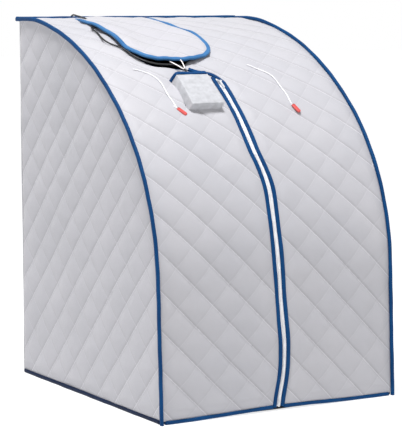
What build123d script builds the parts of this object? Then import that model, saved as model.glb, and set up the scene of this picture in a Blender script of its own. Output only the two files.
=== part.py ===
from build123d import *
from math import asin, cos, pi, radians, sin, tan
import os

# Portable sauna cabin: a quilted fabric cover over a folding pole frame, with a neck opening
# in the roof, a zipped front, zipped arm holes, a control pocket and a steam hose port.
# Millimetres. Origin: centre of the footprint on the floor. Seen from the front, +X is to the
# right. The front faces -Y, +Z is up.

# ---- driving dimensions -------------------------------------------------------------------
width = 700.0                  # outside the bound edges
depth = 800.0
height = 980.0

front_lean = 2.5               # degrees the lower front leans back
front_straight = 346.0         # straight length of the lower front
lower_turn = 43.0              # degrees turned by the lower of the two arcs
top_flat = 30.0                # flat stretch behind the upper arc

cover_thk = 8.0                # quilted cloth with its wadding
edge_proud = 6.0               # bound edges stand this far out of the cloth
edge_width = 12.0              # bound edges, across
tape_proud = 1.5               # binding tape over the cloth's face
hem_height = 10.0
gap = 0.3                      # between sewn neighbours

pole_dia = 16.0
pole_wall = 1.2
hub_clear = 1.0                # corner blocks to cloth and binding
hub_size = 22.0                # corner connector's block
hub_fillet = 4.0
spigot_clear = 0.8             # spigot to the pole's bore
spigot_length = 24.0
floor_thk = 4.0
mat_clear = 1.0                # floor mat to the front edge's binding
rail_z = 16.0                  # centre of the base rails
ferrule_length = 60.0
ferrule_wall = 1.5
ferrule_clear = 0.25

door_top = 650.0               # the front swings open below this height
door_gap = 1.0
door_hem_clear = 1.1           # the door's hem to the base hem, so that it can swing
zip_binding_edge = 6.0         # inner edge of the blue tape, from the centre line
zip_binding_width = 12.0
zip_tape_thk = 2.0
zip_tape_depth = 4.0           # zip tape below the cloth's face

neck_x = -92.5                 # centre of the neck opening
neck_width = 215.0
neck_front = -66.0
neck_length = 216.0
neck_corner = 50.0
neck_binding = 10.0

flap_left = -216.0
flap_right = 38.0
flap_front = -47.0
flap_waist_y = 125.0           # behind this the sides run to the rear seam
flap_rear_left = -158.0
flap_rear_right = 100.0
flap_corner = 100.0
flap_lift = 2.0
flap_thk = 4.0
flap_binding = 10.0
flap_skin = 0.5                # the flap's binding stands this far over its cloth

arm_zip_xs = {"left": -187.0, "right": 160.0}
arm_zip_top = -125.0           # rear end of the straight stretch
arm_zip_length = 70.0
arm_zip_bend = 57.0
arm_zip_width = 5.0
arm_zip_thk = 1.2
arm_slider = (6.0, 10.0, 3.6)
arm_slider_corner = 2.0
arm_pull = (8.5, 30.0, 5.0)
arm_pull_edge = 2.2            # rounding of its top and bottom
arm_pull_gap = 1.3             # pull to slider
arm_pin_in = 2.5               # hinge pin from the pull's end
arm_pin_r = 0.8
arm_pin_clear = 0.3
arm_tongue = (2.0, 2.0)        # width and height of the slider's tongue, which holds the pin
arm_tongue_clear = 0.3

main_slider_drop = 20.0        # below the top of the main zip
main_slider = (10.0, 15.0, 4.0)
slider_corner = 3.0
slider_lug = (2.0, 5.0, 4.2)   # the two ears that hold the pull's pin
pull_length = 26.0
pull_thk = 2.0
pull_clear = 0.4               # pull to each lug
pull_corner = 1.6
pull_knuckle_r = 1.7
pull_pin_r = 0.7
pull_pin_clear = 0.25
pull_slot = (8.0, 3.0)
pull_slot_in = 7.0             # middle of the slot from the pull's end

pocket_x = -104.0
pocket_arc = 572.0             # along the roof, from the crown to the pocket's middle
pocket = (96.0, 116.0)
pocket_wall = 2.5
pocket_rim = 8.0
pocket_corner = 5.0
pocket_root = 12.0             # the walls start this far under the roof and are trimmed
pocket_clear = 0.8             # buttons to the pocket's front wall
case_clear = 2.0               # controller to the pocket's foot

controller = (60.0, 96.0)
controller_lift = 3.5
back_height = 8.0
front_height = 8.0
shell_wall = 1.8
shell_corner = 8.0
board_thk = 1.6
board_clear = 1.0
display = (34.0, 20.0)
display_y = 24.0
display_thk = 1.4
display_sunk = 0.2             # window below the front shell's face
button_dia = 9.0
button_clear = 0.3
button_proud = 1.2
button_travel = 0.8
buttons = {"power": (0.0, -26.0), "heat": (-16.0, -6.0), "timer": (16.0, -6.0)}
gland_length = 22.0
gland_base_r = 4.4
gland_tip_r = 3.0

lead_dia = 4.4
drawstring_dia = 2.4
coil_x = -110.0
coil_y = 444.0
coil_mid_r = 27.0
coil_width = 13.6
coil_height = 9.2
coil_corner = 3.0
lead_plug_r = 5.5
lead_plug_length = 30.0
lead_plug_shift = 18.0         # plug's back from the coil's middle
plug_boss_wall = 1.0
plug_boss_length = 10.0

port_x = 190.0
port_z = 110.0
port_bore_r = 21.0
port_sleeve_wall = 2.0
port_flange_r = 38.0
port_flange_thk = 3.0
port_nut_r = 34.0
port_nut_thk = 6.0
port_inner_reach = 10.0        # sleeve past the cloth's inner face
port_lip = 2.0                 # sleeve past the flange
port_clear = 0.5
port_thread_clear = 0.1

# ---- side outline -------------------------------------------------------------------------
# From the front hem: a straight, two tangent arcs, and a flat to the rear top edge.
lean = radians(front_lean)
knee = radians(front_lean + lower_turn)
arcs_rise = height - front_straight * cos(lean)
arcs_run = depth - top_flat - front_straight * sin(lean)
rise_lower = sin(knee) - sin(lean)
rise_upper = 1 - sin(knee)
run_lower = cos(lean) - cos(knee)
run_upper = cos(knee)
solve = rise_lower * run_upper - rise_upper * run_lower
lower_r = (arcs_rise * run_upper - rise_upper * arcs_run) / solve
upper_r = (rise_lower * arcs_run - run_lower * arcs_rise) / solve

front_y = -depth / 2
rear_y = depth / 2
lower_centre = (
    front_y + front_straight * sin(lean) + lower_r * cos(lean),
    front_straight * cos(lean) - lower_r * sin(lean),
)
crown_y = rear_y - top_flat
upper_centre = (crown_y, height - upper_r)

cloth_in = edge_proud + cover_thk              # inset of the cloth's inner face
side_face = width / 2 - edge_proud             # outer face of the side panels
side_inner = side_face - cover_thk
seam_x = width / 2 - edge_width - gap          # front and roof cloth end here
rear_face = rear_y - edge_proud
rear_inner = rear_face - cover_thk
edge_depth = cloth_in                          # bound edges, into the corner
panel_foot = hem_height + gap
zip_cloth_edge = zip_binding_edge + zip_binding_width + gap
pole_set = tape_proud + hub_clear + hub_size / 2   # pole centres from the cloth's inner face
pole_in = cloth_in + pole_set
pole_x = side_inner - pole_set
rear_pole_y = rear_inner - pole_set
front_pole_y = front_y + pole_in / cos(lean) + rail_z * tan(lean)
top_pole_z = height - pole_in
spigot_dia = pole_dia - 2 * pole_wall - 2 * spigot_clear
case_height = back_height + front_height + button_proud
pocket_depth = controller_lift + case_height + pocket_clear + pocket_wall

upper_sweep = radians(90) - knee               # turned by the upper arc, from the crown
upper_length = upper_r * upper_sweep
knee_y = crown_y - upper_r * sin(upper_sweep)

os.makedirs("parts", exist_ok=True)


def save(part, name):
    part.label = name
    export_step(part, "parts/" + name + ".step")


def arc_point(centre, radius, angle):
    return (centre[0] - radius * cos(angle), centre[1] + radius * sin(angle))


def front_point(inset, z):
    """Point (y, z) on the straight lower front, a given inset inside the outline."""
    return (front_y + inset / cos(lean) + z * tan(lean), z)


def draw_outline(inset, foot, rear):
    """Draw the side outline from the front foot to the rear, and return its two ends."""
    low_r = lower_r - inset
    high_r = upper_r - inset
    start = front_point(inset, foot)
    straight_end = arc_point(lower_centre, low_r, lean)
    knee_point = arc_point(lower_centre, low_r, knee)
    crown = (crown_y, height - inset)
    end = (rear, height - inset)
    Line(start, straight_end)
    ThreePointArc(straight_end, arc_point(lower_centre, low_r, (lean + knee) / 2), knee_point)
    ThreePointArc(
        knee_point, arc_point(upper_centre, high_r, (knee + radians(90)) / 2), crown
    )
    Line(crown, end)
    return start, end


def curved_strip(x_low, x_high, outer, inner, foot=0.0, rear=rear_y):
    """A strip of the curved front and roof between two insets and two values of X."""
    with BuildPart() as strip:
        with BuildSketch(Plane.YZ.offset(x_low)):
            with BuildLine():
                outer_ends = draw_outline(outer, foot, rear)
                inner_ends = draw_outline(inner, foot, rear)
                Line(outer_ends[0], inner_ends[0])
                Line(outer_ends[1], inner_ends[1])
            make_face()
        extrude(amount=x_high - x_low)
    return strip.part


def plan_prism(sketch):
    """Turn a plan sketch into a tall prism through the roof."""
    with BuildPart() as prism:
        add(sketch)
        extrude(amount=height + 2 * edge_proud)
    return prism.part


def neck_outline(grow):
    """Plan outline of the neck opening, grown outwards."""
    with BuildSketch() as outline:
        with Locations((neck_x, neck_front + neck_length / 2)):
            RectangleRounded(neck_width + 2 * grow, neck_length + 2 * grow, neck_corner + grow)
    return outline.sketch


def flap_outline(shrink):
    """Plan outline of the neck flap, shrunk inwards."""
    rear_edge = rear_y - edge_width - gap
    with BuildSketch() as outline:
        with BuildLine():
            Polyline(
                (flap_rear_left, rear_edge),
                (flap_left, flap_waist_y),
                (flap_left, flap_front),
                (flap_right, flap_front),
                (flap_right, flap_waist_y),
                (flap_rear_right, rear_edge),
                close=True,
            )
        make_face()
        fillet(outline.vertices().group_by(Axis.Y)[0], radius=flap_corner)
        if shrink:
            offset(amount=-shrink, mode=Mode.REPLACE)
    return outline.sketch


def roof_plane(x, arc, rise):
    """Plane on either arc of the cloth: X across, Y up the slope, Z out of the cloth."""
    if arc <= upper_length:
        tilt = arc / upper_r
        centre = upper_centre
        radius = upper_r - edge_proud + rise
    else:
        tilt = upper_sweep + (arc - upper_length) / lower_r
        centre = lower_centre
        radius = lower_r - edge_proud + rise
    return Plane(
        origin=(x, centre[0] - radius * sin(tilt), centre[1] + radius * cos(tilt)),
        x_dir=(1, 0, 0),
        z_dir=(0, -sin(tilt), cos(tilt)),
    )


def arc_at(y):
    """Length along the outline from the crown to the place that has this Y."""
    if y >= knee_y:
        return upper_r * asin((crown_y - y) / upper_r)
    return upper_length + lower_r * (asin((lower_centre[0] - y) / lower_r) - upper_sweep)


# ---- cover: sides, rear and floor ------------------------------------------------------------
def side_panel(x_low):
    with BuildPart() as panel:
        with BuildSketch(Plane.YZ.offset(x_low)):
            with BuildLine():
                ends = draw_outline(edge_depth + gap, panel_foot, rear_face)
                Line(ends[1], (rear_face, panel_foot))
                Line((rear_face, panel_foot), ends[0])
            make_face()
        extrude(amount=cover_thk)
    return panel.part


save(side_panel(-side_face), "left_side_panel")
save(side_panel(side_inner), "right_side_panel")

port_sleeve_r = port_bore_r + port_sleeve_wall
port_plane = Plane(origin=(port_x, 0, port_z), x_dir=(1, 0, 0), z_dir=(0, 1, 0))

with BuildPart() as rear_panel:
    with BuildSketch(Plane.XZ.offset(-rear_inner)):
        with Locations((0, (panel_foot + height - edge_depth - gap) / 2)):
            Rectangle(2 * (side_inner - gap), height - edge_depth - gap - panel_foot)
        with Locations((port_x, port_z)):
            Circle(port_sleeve_r + port_clear, mode=Mode.SUBTRACT)
    extrude(amount=-cover_thk)
save(rear_panel.part, "rear_panel")

with BuildPart() as floor_mat:
    mat_front = front_y + cloth_in + tape_proud + gap + mat_clear
    mat_rear = rear_inner - tape_proud - gap
    with Locations((0, (mat_front + mat_rear) / 2, 0)):
        Box(
            2 * (side_inner - tape_proud - gap),
            mat_rear - mat_front,
            floor_thk,
            align=(Align.CENTER, Align.CENTER, Align.MIN),
        )
save(floor_mat.part, "floor_mat")

with BuildPart() as base_hem:
    hem_front = front_point(edge_depth + gap, hem_height)[0]
    hem_rear = rear_face + tape_proud
    inner_rear = rear_inner - tape_proud
    with BuildSketch():
        with Locations((0, (hem_front + hem_rear) / 2)):
            Rectangle(2 * (side_face + tape_proud), hem_rear - hem_front)
        with Locations((0, (hem_front - tape_proud + inner_rear) / 2)):
            Rectangle(
                2 * (side_inner - tape_proud),
                inner_rear - hem_front + tape_proud,
                mode=Mode.SUBTRACT,
            )
    extrude(amount=hem_height)
save(base_hem.part, "base_hem")


# ---- cover: roof, doors and their bindings ----------------------------------------------------
def edge_binding(x_low):
    with BuildPart() as binding:
        add(curved_strip(x_low, x_low + edge_width, 0, edge_depth))
    return binding.part


save(edge_binding(-width / 2), "left_arch_binding")
save(edge_binding(width / 2 - edge_width), "right_arch_binding")

with BuildPart() as rear_top_binding:
    with BuildSketch(Plane.YZ.offset(-seam_x)):
        with Locations((rear_y - edge_width / 2, height - edge_depth / 2)):
            Rectangle(edge_width, edge_depth)
    extrude(amount=2 * seam_x)
save(rear_top_binding.part, "rear_top_binding")

roof_rear = rear_y - edge_width - gap
roof_foot = door_top + door_gap
zip_top_cut = plan_prism(neck_outline(neck_binding + gap))

with BuildPart() as roof_panel:
    add(curved_strip(-seam_x, seam_x, edge_proud, cloth_in, rear=roof_rear))
    split(bisect_by=Plane.XY.offset(roof_foot), keep=Keep.TOP)
    add(zip_top_cut, mode=Mode.SUBTRACT)
    with Locations((0, front_y, height / 2)):
        Box(
            2 * zip_cloth_edge,
            2 * (neck_front + neck_corner - front_y),
            height * 2,
            mode=Mode.SUBTRACT,
        )
save(roof_panel.part, "roof_panel")

with BuildPart() as neck_binding_ring:
    add(
        curved_strip(
            -seam_x, seam_x, edge_proud - tape_proud, cloth_in + tape_proud, rear=roof_rear
        )
    )
    add(plan_prism(neck_outline(neck_binding)), mode=Mode.INTERSECT)
    add(plan_prism(neck_outline(0)), mode=Mode.SUBTRACT)
    with Locations((0, neck_front, height / 2)):
        Box(2 * zip_binding_edge, neck_length / 2, height * 2, mode=Mode.SUBTRACT)
save(neck_binding_ring.part, "neck_opening_binding")


def zip_strip(x_low, x_high, outer, inner, above):
    """A strip beside the main zip, above or below the top of the doors."""
    with BuildPart() as strip:
        add(curved_strip(x_low, x_high, outer, inner, rear=roof_rear))
        if above:
            split(bisect_by=Plane.XY.offset(roof_foot), keep=Keep.TOP)
            with Locations((0, crown_y, height / 2)):
                Box(
                    width,
                    2 * (crown_y - neck_front - neck_corner),
                    height * 2,
                    mode=Mode.SUBTRACT,
                )
            add(zip_top_cut, mode=Mode.SUBTRACT)
        else:
            split(bisect_by=Plane.XY.offset(door_top), keep=Keep.BOTTOM)
    return strip.part


tape_outer = edge_proud + zip_tape_depth
tape_inner = tape_outer + zip_tape_thk
binding_outer = edge_proud - tape_proud
binding_inner = cloth_in + tape_proud
binding_far = zip_binding_edge + zip_binding_width

with BuildPart() as upper_zip_bindings:
    add(zip_strip(-binding_far, -zip_binding_edge, binding_outer, binding_inner, True))
    add(zip_strip(zip_binding_edge, binding_far, binding_outer, binding_inner, True))
save(upper_zip_bindings.part, "upper_zip_bindings")

with BuildPart() as upper_zip_tape:
    add(
        zip_strip(
            -zip_binding_edge + gap, zip_binding_edge - gap, tape_outer, tape_inner, True
        )
    )
save(upper_zip_tape.part, "upper_zip_tape")


def door_piece(side, x_inner, x_outer, outer, inner, foot=0.0):
    """A strip of one front door. side is -1 for the left door and 1 for the right."""
    low, high = sorted((side * x_inner, side * x_outer))
    with BuildPart() as piece:
        add(curved_strip(low, high, outer, inner, foot=foot, rear=roof_rear))
        split(bisect_by=Plane.XY.offset(door_top), keep=Keep.BOTTOM)
    return piece.part


door_edge = seam_x - gap
hem_end = side_inner - tape_proud - door_hem_clear

for side_name, side in (("left", -1), ("right", 1)):
    with BuildPart() as door_panel:
        add(door_piece(side, zip_cloth_edge, door_edge, edge_proud, cloth_in, panel_foot))
    save(door_panel.part, side_name + "_door_panel")

    with BuildPart() as door_binding:
        add(door_piece(side, zip_binding_edge, binding_far, binding_outer, binding_inner))
    save(door_binding.part, side_name + "_door_zip_binding")

    with BuildPart() as door_tape:
        add(door_piece(side, gap / 2, zip_binding_edge - gap, tape_outer, tape_inner))
    save(door_tape.part, side_name + "_door_zip_tape")

    with BuildPart() as door_hem:
        add(door_piece(side, binding_far + gap, hem_end, binding_outer, binding_inner))
        split(bisect_by=Plane.XY.offset(hem_height), keep=Keep.BOTTOM)
    save(door_hem.part, side_name + "_door_hem")

# ---- neck flap ------------------------------------------------------------------------------
flap_outer = edge_proud - flap_lift - flap_thk
flap_inner = edge_proud - flap_lift

with BuildPart() as neck_flap:
    add(curved_strip(-seam_x, seam_x, flap_outer + flap_skin, flap_inner - flap_skin, rear=roof_rear))
    add(plan_prism(flap_outline(flap_binding + gap)), mode=Mode.INTERSECT)
save(neck_flap.part, "neck_flap")

with BuildPart() as neck_flap_binding:
    add(curved_strip(-seam_x, seam_x, flap_outer, flap_inner, rear=roof_rear))
    add(plan_prism(flap_outline(0)), mode=Mode.INTERSECT)
    add(plan_prism(flap_outline(flap_binding)), mode=Mode.SUBTRACT)
save(neck_flap_binding.part, "neck_flap_binding")

# ---- main zip slider ------------------------------------------------------------------------
zip_top_arc = arc_at(neck_front - neck_binding)
slider_arc = zip_top_arc + main_slider_drop
slider_base = roof_plane(0, slider_arc, -zip_tape_depth + gap)
pull_axis = slider_base.offset(main_slider[2] + slider_lug[2] / 2)
pin_plane = Plane(origin=pull_axis.origin, x_dir=pull_axis.y_dir, z_dir=(1, 0, 0))
lug_spacing = main_slider[0] - slider_lug[0]

with BuildPart() as zip_slider:
    with BuildSketch(slider_base):
        RectangleRounded(main_slider[0], main_slider[1], slider_corner)
    extrude(amount=main_slider[2])
    with BuildSketch(slider_base.offset(main_slider[2])):
        with GridLocations(lug_spacing, 0, 2, 1):
            Rectangle(slider_lug[0], slider_lug[1])
    extrude(amount=slider_lug[2])
    with BuildSketch(pin_plane):
        Circle(pull_pin_r)
    extrude(amount=lug_spacing / 2, both=True)
save(zip_slider.part, "main_zip_slider")

pull_width = lug_spacing - slider_lug[0] - 2 * pull_clear
with BuildPart() as zip_pull:
    with BuildSketch(pull_axis.offset(-pull_thk / 2)):
        with Locations((0, -pull_length / 2)):
            RectangleRounded(pull_width, pull_length, pull_corner)
        with Locations((0, pull_slot_in - pull_length)):
            SlotOverall(pull_slot[0], pull_slot[1], rotation=90, mode=Mode.SUBTRACT)
    extrude(amount=pull_thk)
    with BuildSketch(pin_plane):
        Circle(pull_knuckle_r)
    extrude(amount=pull_width / 2, both=True)
    with BuildSketch(pin_plane):
        Circle(pull_pin_r + pull_pin_clear)
    extrude(amount=pull_width, both=True, mode=Mode.SUBTRACT)
save(zip_pull.part, "main_zip_pull")


# ---- arm hole zips --------------------------------------------------------------------------
def arm_zip_plan(x):
    """Plan band of an arm hole's zip: a straight up the slope, then a quarter turn."""
    with BuildSketch() as band:
        with BuildLine():
            run = Line((x, arm_zip_top - arm_zip_length), (x, arm_zip_top))
            RadiusArc(run @ 1, (x - arm_zip_bend, arm_zip_top + arm_zip_bend), -arm_zip_bend)
            offset(amount=arm_zip_width / 2)
        make_face()
    return band.sketch


arm_foot_arc = arc_at(arm_zip_top - arm_zip_length)
arm_slider_arc = arm_foot_arc - arm_slider[1] / 2
arm_rise = arm_zip_thk + 2 * gap
notch_depth = arm_pin_in + arm_pull[2] / 2

for side_name, arm_x in arm_zip_xs.items():
    with BuildPart() as arm_tape:
        add(
            curved_strip(
                -seam_x, seam_x, edge_proud - gap - arm_zip_thk, edge_proud - gap, rear=roof_rear
            )
        )
        add(plan_prism(arm_zip_plan(arm_x)), mode=Mode.INTERSECT)
    save(arm_tape.part, "arm_zip_" + side_name)

    arm_base = roof_plane(arm_x, arm_slider_arc, arm_rise)
    pull_base = roof_plane(arm_x, arm_foot_arc + arm_pull_gap + arm_pull[1] / 2, arm_rise)
    pin_place = pull_base.from_local_coords(
        Vector(0, arm_pull[1] / 2 - arm_pin_in, arm_pull[2] / 2)
    )
    arm_pin_plane = Plane(origin=pin_place, x_dir=pull_base.y_dir, z_dir=(1, 0, 0))
    tongue_reach = arm_pin_in + arm_pull_gap

    with BuildPart() as arm_slide:
        with BuildSketch(arm_base):
            RectangleRounded(arm_slider[0], arm_slider[1], arm_slider_corner)
        extrude(amount=arm_slider[2])
        with BuildSketch(arm_pin_plane):
            Circle(arm_tongue[1] / 2)
            with Locations((tongue_reach, 0)):
                Rectangle(2 * tongue_reach, arm_tongue[1])
        extrude(amount=arm_tongue[0] / 2, both=True)
        with BuildSketch(arm_pin_plane):
            Circle(arm_pin_r)
        extrude(amount=arm_slider[0] / 2, both=True)
    save(arm_slide.part, "arm_slider_" + side_name)

    with BuildPart() as pull:
        with BuildSketch(pull_base):
            SlotOverall(arm_pull[1], arm_pull[0], rotation=90)
        extrude(amount=arm_pull[2])
        outwards = Axis(pull_base.origin, pull_base.z_dir)
        rims = pull.edges().group_by(outwards)
        fillet(rims[0] + rims[-1], radius=arm_pull_edge)
        with BuildSketch(pull_base):
            with Locations((0, arm_pull[1] / 2)):
                Rectangle(arm_tongue[0] + 2 * arm_tongue_clear, 2 * notch_depth)
        extrude(amount=arm_pull[2], mode=Mode.SUBTRACT)
        with BuildSketch(arm_pin_plane):
            Circle(arm_pin_r + arm_pin_clear)
        extrude(amount=arm_slider[0] / 2 + arm_pin_clear, both=True, mode=Mode.SUBTRACT)
    save(pull.part, "arm_pull_" + side_name)

# ---- control pocket -------------------------------------------------------------------------
pocket_base = roof_plane(pocket_x, pocket_arc, 0)
under_roof = curved_strip(
    -seam_x, seam_x, edge_proud - gap, cloth_in + 2 * pocket_root, rear=roof_rear
)
pocket_foot = pocket_base.offset(-pocket_root)
pocket_rise = pocket_root + pocket_depth

with BuildPart() as control_pocket:
    with BuildSketch(pocket_foot):
        Rectangle(pocket[0], pocket[1])
    extrude(amount=pocket_rise)
    outwards = Axis(pocket_base.origin, pocket_base.z_dir)
    fillet(control_pocket.edges().filter_by(outwards), radius=pocket_corner)
    with BuildSketch(pocket_foot):
        with Locations((0, pocket_wall)):
            Rectangle(pocket[0] - 2 * pocket_wall, pocket[1])
    extrude(amount=pocket_rise - pocket_wall, mode=Mode.SUBTRACT)
    add(under_roof, mode=Mode.SUBTRACT)
    with BuildSketch(pocket_foot):
        with Locations((0, pocket[1] / 2 - pocket_rim / 2)):
            Rectangle(2 * pocket[0], pocket_rim + gap)
    extrude(amount=2 * pocket_rise, mode=Mode.SUBTRACT)
save(control_pocket.part, "control_pocket")

with BuildPart() as pocket_binding:
    with BuildSketch(pocket_foot):
        with Locations((0, pocket[1] / 2 - pocket_rim / 2 + gap)):
            Rectangle(pocket[0] + 2 * tape_proud, pocket_rim - gap)
    extrude(amount=pocket_rise + tape_proud)
    with BuildSketch(pocket_foot):
        with Locations((0, pocket[1] / 2)):
            Rectangle(pocket[0] - 2 * pocket_wall, 2 * pocket_rim)
    extrude(amount=pocket_rise - pocket_wall, mode=Mode.SUBTRACT)
    add(under_roof, mode=Mode.SUBTRACT)
save(pocket_binding.part, "pocket_rim_binding")

# ---- controller in the pocket ------------------------------------------------------------------
case_y = -(pocket[1] - controller[1]) / 2 + pocket_wall + case_clear
case_base = roof_plane(pocket_x, pocket_arc, controller_lift)
case_base = Plane(
    origin=case_base.from_local_coords(Vector(0, case_y, 0)),
    x_dir=case_base.x_dir,
    z_dir=case_base.z_dir,
)

with BuildPart() as controller_back:
    with BuildSketch(case_base):
        RectangleRounded(controller[0], controller[1], shell_corner)
    extrude(amount=back_height - gap / 3)
    with BuildSketch(case_base.offset(shell_wall)):
        RectangleRounded(
            controller[0] - 2 * shell_wall, controller[1] - 2 * shell_wall, shell_corner - shell_wall
        )
    extrude(amount=back_height, mode=Mode.SUBTRACT)
save(controller_back.part, "controller_back_shell")

front_base = case_base.offset(back_height)
with BuildPart() as controller_front:
    with BuildSketch(front_base):
        RectangleRounded(controller[0], controller[1], shell_corner)
    extrude(amount=front_height)
    with BuildSketch(front_base):
        RectangleRounded(
            controller[0] - 2 * shell_wall, controller[1] - 2 * shell_wall, shell_corner - shell_wall
        )
    extrude(amount=front_height - shell_wall, mode=Mode.SUBTRACT)
    with BuildSketch(front_base):
        with Locations(*buttons.values()):
            Circle(button_dia / 2 + button_clear)
        with Locations((0, display_y)):
            Rectangle(display[0] + gap, display[1] + gap)
    extrude(amount=front_height, mode=Mode.SUBTRACT)
save(controller_front.part, "controller_front_shell")

with BuildPart() as controller_display:
    with BuildSketch(front_base.offset(front_height - display_sunk - display_thk)):
        with Locations((0, display_y)):
            Rectangle(display[0] - gap, display[1] - gap)
    extrude(amount=display_thk)
save(controller_display.part, "controller_display")

board_z = back_height - board_thk - board_clear
board_inset = shell_wall + board_clear
with BuildPart() as controller_board:
    with BuildSketch(case_base.offset(board_z)):
        RectangleRounded(
            controller[0] - 2 * board_inset,
            controller[1] - 2 * board_inset,
            shell_corner - board_inset,
        )
    extrude(amount=board_thk)
save(controller_board.part, "controller_board")

button_foot = board_z + board_thk + button_travel + gap
for button_name, spot in buttons.items():
    with BuildPart() as button:
        with BuildSketch(case_base.offset(button_foot)):
            with Locations(spot):
                Circle(button_dia / 2)
        extrude(amount=case_height - button_foot)
    save(button.part, "button_" + button_name)

gland_base = Plane(
    origin=case_base.from_local_coords(Vector(0, controller[1] / 2 + gap / 3, back_height)),
    x_dir=(1, 0, 0),
    z_dir=case_base.y_dir,
)
with BuildPart() as lead_gland:
    with BuildSketch(gland_base):
        Circle(gland_base_r)
    with BuildSketch(gland_base.offset(gland_length)):
        Circle(gland_tip_r)
    loft()
save(lead_gland.part, "lead_gland")

# ---- controller lead ---------------------------------------------------------------------------
# From the gland it turns along the edge of the neck opening, runs beside the flap to the rear
# edge, over it and down behind, and ends in a wound coil on the floor with its plug.
gland_tip = gland_base.from_local_coords(Vector(0, 0, gland_length))
lead_points = [
    tuple(gland_tip),
    (-104.5, -86, 854.5),
    (-116, -74, 857.5),
    (-140, -69, 855.0),
    (-166, -63, 856.5),
    (-192, -50, 864.0),
    (-212, -26, 877.5),
    (-226, 4, 892.7),
    (-235, 36, 907.5),
    (-245, 66, 920.0),
    (-252, 104, 934.0),
    (-246, 142, 946.0),
    (-232, 180, 956.0),
    (-214, 224, 965.1),
    (-200, 268, 972.1),
    (-191, 312, 977.5),
    (-185, 354, 984.0),
    (-182, 394, 991.0),
    (-180, 422, 964.0),
    (-179, 419, 908.0),
    (-177, 412, 848.0),
    (-174, 408, 786.0),
    (-170, 405.5, 724.0),
    (-166, 404, 662.0),
    (-162, 403.5, 600.0),
    (-159, 403.8, 538.0),
    (-157, 404.5, 476.0),
    (-156.5, 405.5, 414.0),
    (-157.5, 406.5, 352.0),
    (-160, 407.2, 290.0),
    (-163, 407.5, 228.0),
    (-165, 407, 168.0),
    (-165, 407.5, 112.0),
    (-162, 409, 66.0),
    (-156, 415, 30.0),
    (-148, 429, 7.0),
    (-141, 446, 2.6),
]


def corner_radii(points):
    """Largest arcs that the runs allow: 0.45 of the shorter run over tan(half the turn)."""
    places = [Vector(*p) for p in points]
    radii = []
    for before, at, after in zip(places, places[1:], places[2:]):
        run_in = at - before
        run_out = after - at
        half_turn = radians(run_in.get_angle(run_out)) / 2
        radii.append(0.45 * min(run_in.length, run_out.length) / tan(half_turn))
    return radii


def cord_tube(points, diameter, name):
    """Sweep a round cord along straight runs and tangent arcs, and print how it came out."""
    radii = corner_radii(points)
    with BuildPart() as tube:
        with BuildLine() as path:
            FilletPolyline(*points, radius=radii)
        with BuildSketch(path.line ^ 0):
            Circle(diameter / 2)
        sweep()
    length = path.wires()[0].length
    share = tube.part.volume / (pi * diameter**2 / 4 * length)
    print(name, "length", round(length), "radii", [round(r) for r in radii])
    print(name, "volume over section times length", round(share, 4))
    save(tube.part, name)


cord_tube(lead_points, lead_dia, "lead_tube")

with BuildPart() as lead_coil:
    with BuildSketch(Plane(origin=(coil_x, coil_y, 0), x_dir=(1, 0, 0), z_dir=(0, -1, 0))):
        with Locations((coil_mid_r, coil_height / 2)):
            RectangleRounded(coil_width, coil_height, coil_corner)
    revolve(axis=Axis((coil_x, coil_y, 0), (0, 0, 1)))
save(lead_coil.part, "lead_coil")

plug_x = coil_x + lead_plug_shift
plug_y = coil_y + coil_mid_r + coil_width / 2 - lead_dia / 2
with BuildPart() as lead_plug:
    with BuildSketch(Plane.YZ.offset(plug_x)):
        with Locations((plug_y, lead_plug_r)):
            Circle(lead_plug_r)
    extrude(amount=lead_plug_length)
    with BuildSketch(Plane.YZ.offset(plug_x)):
        with Locations((plug_y, lead_plug_r)):
            Circle(lead_dia / 2 + plug_boss_wall)
    extrude(amount=-plug_boss_length)
save(lead_plug.part, "lead_plug")

# The neck opening's drawstring leaves its casing beside the zip in one short loop.
drawstring_points = [
    (-72, -74.5, 843.7),
    (-72.5, -82, 840.6),
    (-74, -91, 834.5),
    (-80, -99, 829.0),
    (-87, -99, 829.0),
    (-93, -91, 834.5),
    (-94.5, -82, 840.6),
    (-95, -74.5, 843.7),
]
cord_tube(drawstring_points, drawstring_dia, "neck_drawstring")

# ---- steam hose port ---------------------------------------------------------------------------
sleeve_start = port_plane.offset(rear_inner - port_inner_reach)
sleeve_length = port_inner_reach + cover_thk + gap + port_flange_thk + port_lip

with BuildPart() as port_flange:
    with BuildSketch(port_plane.offset(rear_face + gap)):
        Circle(port_flange_r)
    extrude(amount=port_flange_thk)
    with BuildSketch(sleeve_start):
        Circle(port_sleeve_r)
    extrude(amount=sleeve_length)
    with BuildSketch(sleeve_start):
        Circle(port_bore_r)
    extrude(amount=sleeve_length, mode=Mode.SUBTRACT)
save(port_flange.part, "steam_port_flange")

with BuildPart() as port_nut:
    with BuildSketch(port_plane.offset(rear_inner - gap)):
        RegularPolygon(port_nut_r, 8)
        Circle(port_sleeve_r + port_thread_clear, mode=Mode.SUBTRACT)
    extrude(amount=-port_nut_thk)
save(port_nut.part, "steam_port_nut")


# ---- pole frame --------------------------------------------------------------------------------
def straight_pole(start, end):
    """A hollow pole between two points."""
    run = Vector(*end) - Vector(*start)
    with BuildPart() as pole:
        with BuildSketch(Plane(origin=start, z_dir=run.normalized())):
            Circle(pole_dia / 2)
            Circle(pole_dia / 2 - pole_wall, mode=Mode.SUBTRACT)
        extrude(amount=run.length)
    return pole.part


hub_half = hub_size / 2 + gap
knee_front = arc_point(lower_centre, lower_r - pole_in, knee)
straight_front = arc_point(lower_centre, lower_r - pole_in, lean)

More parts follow.
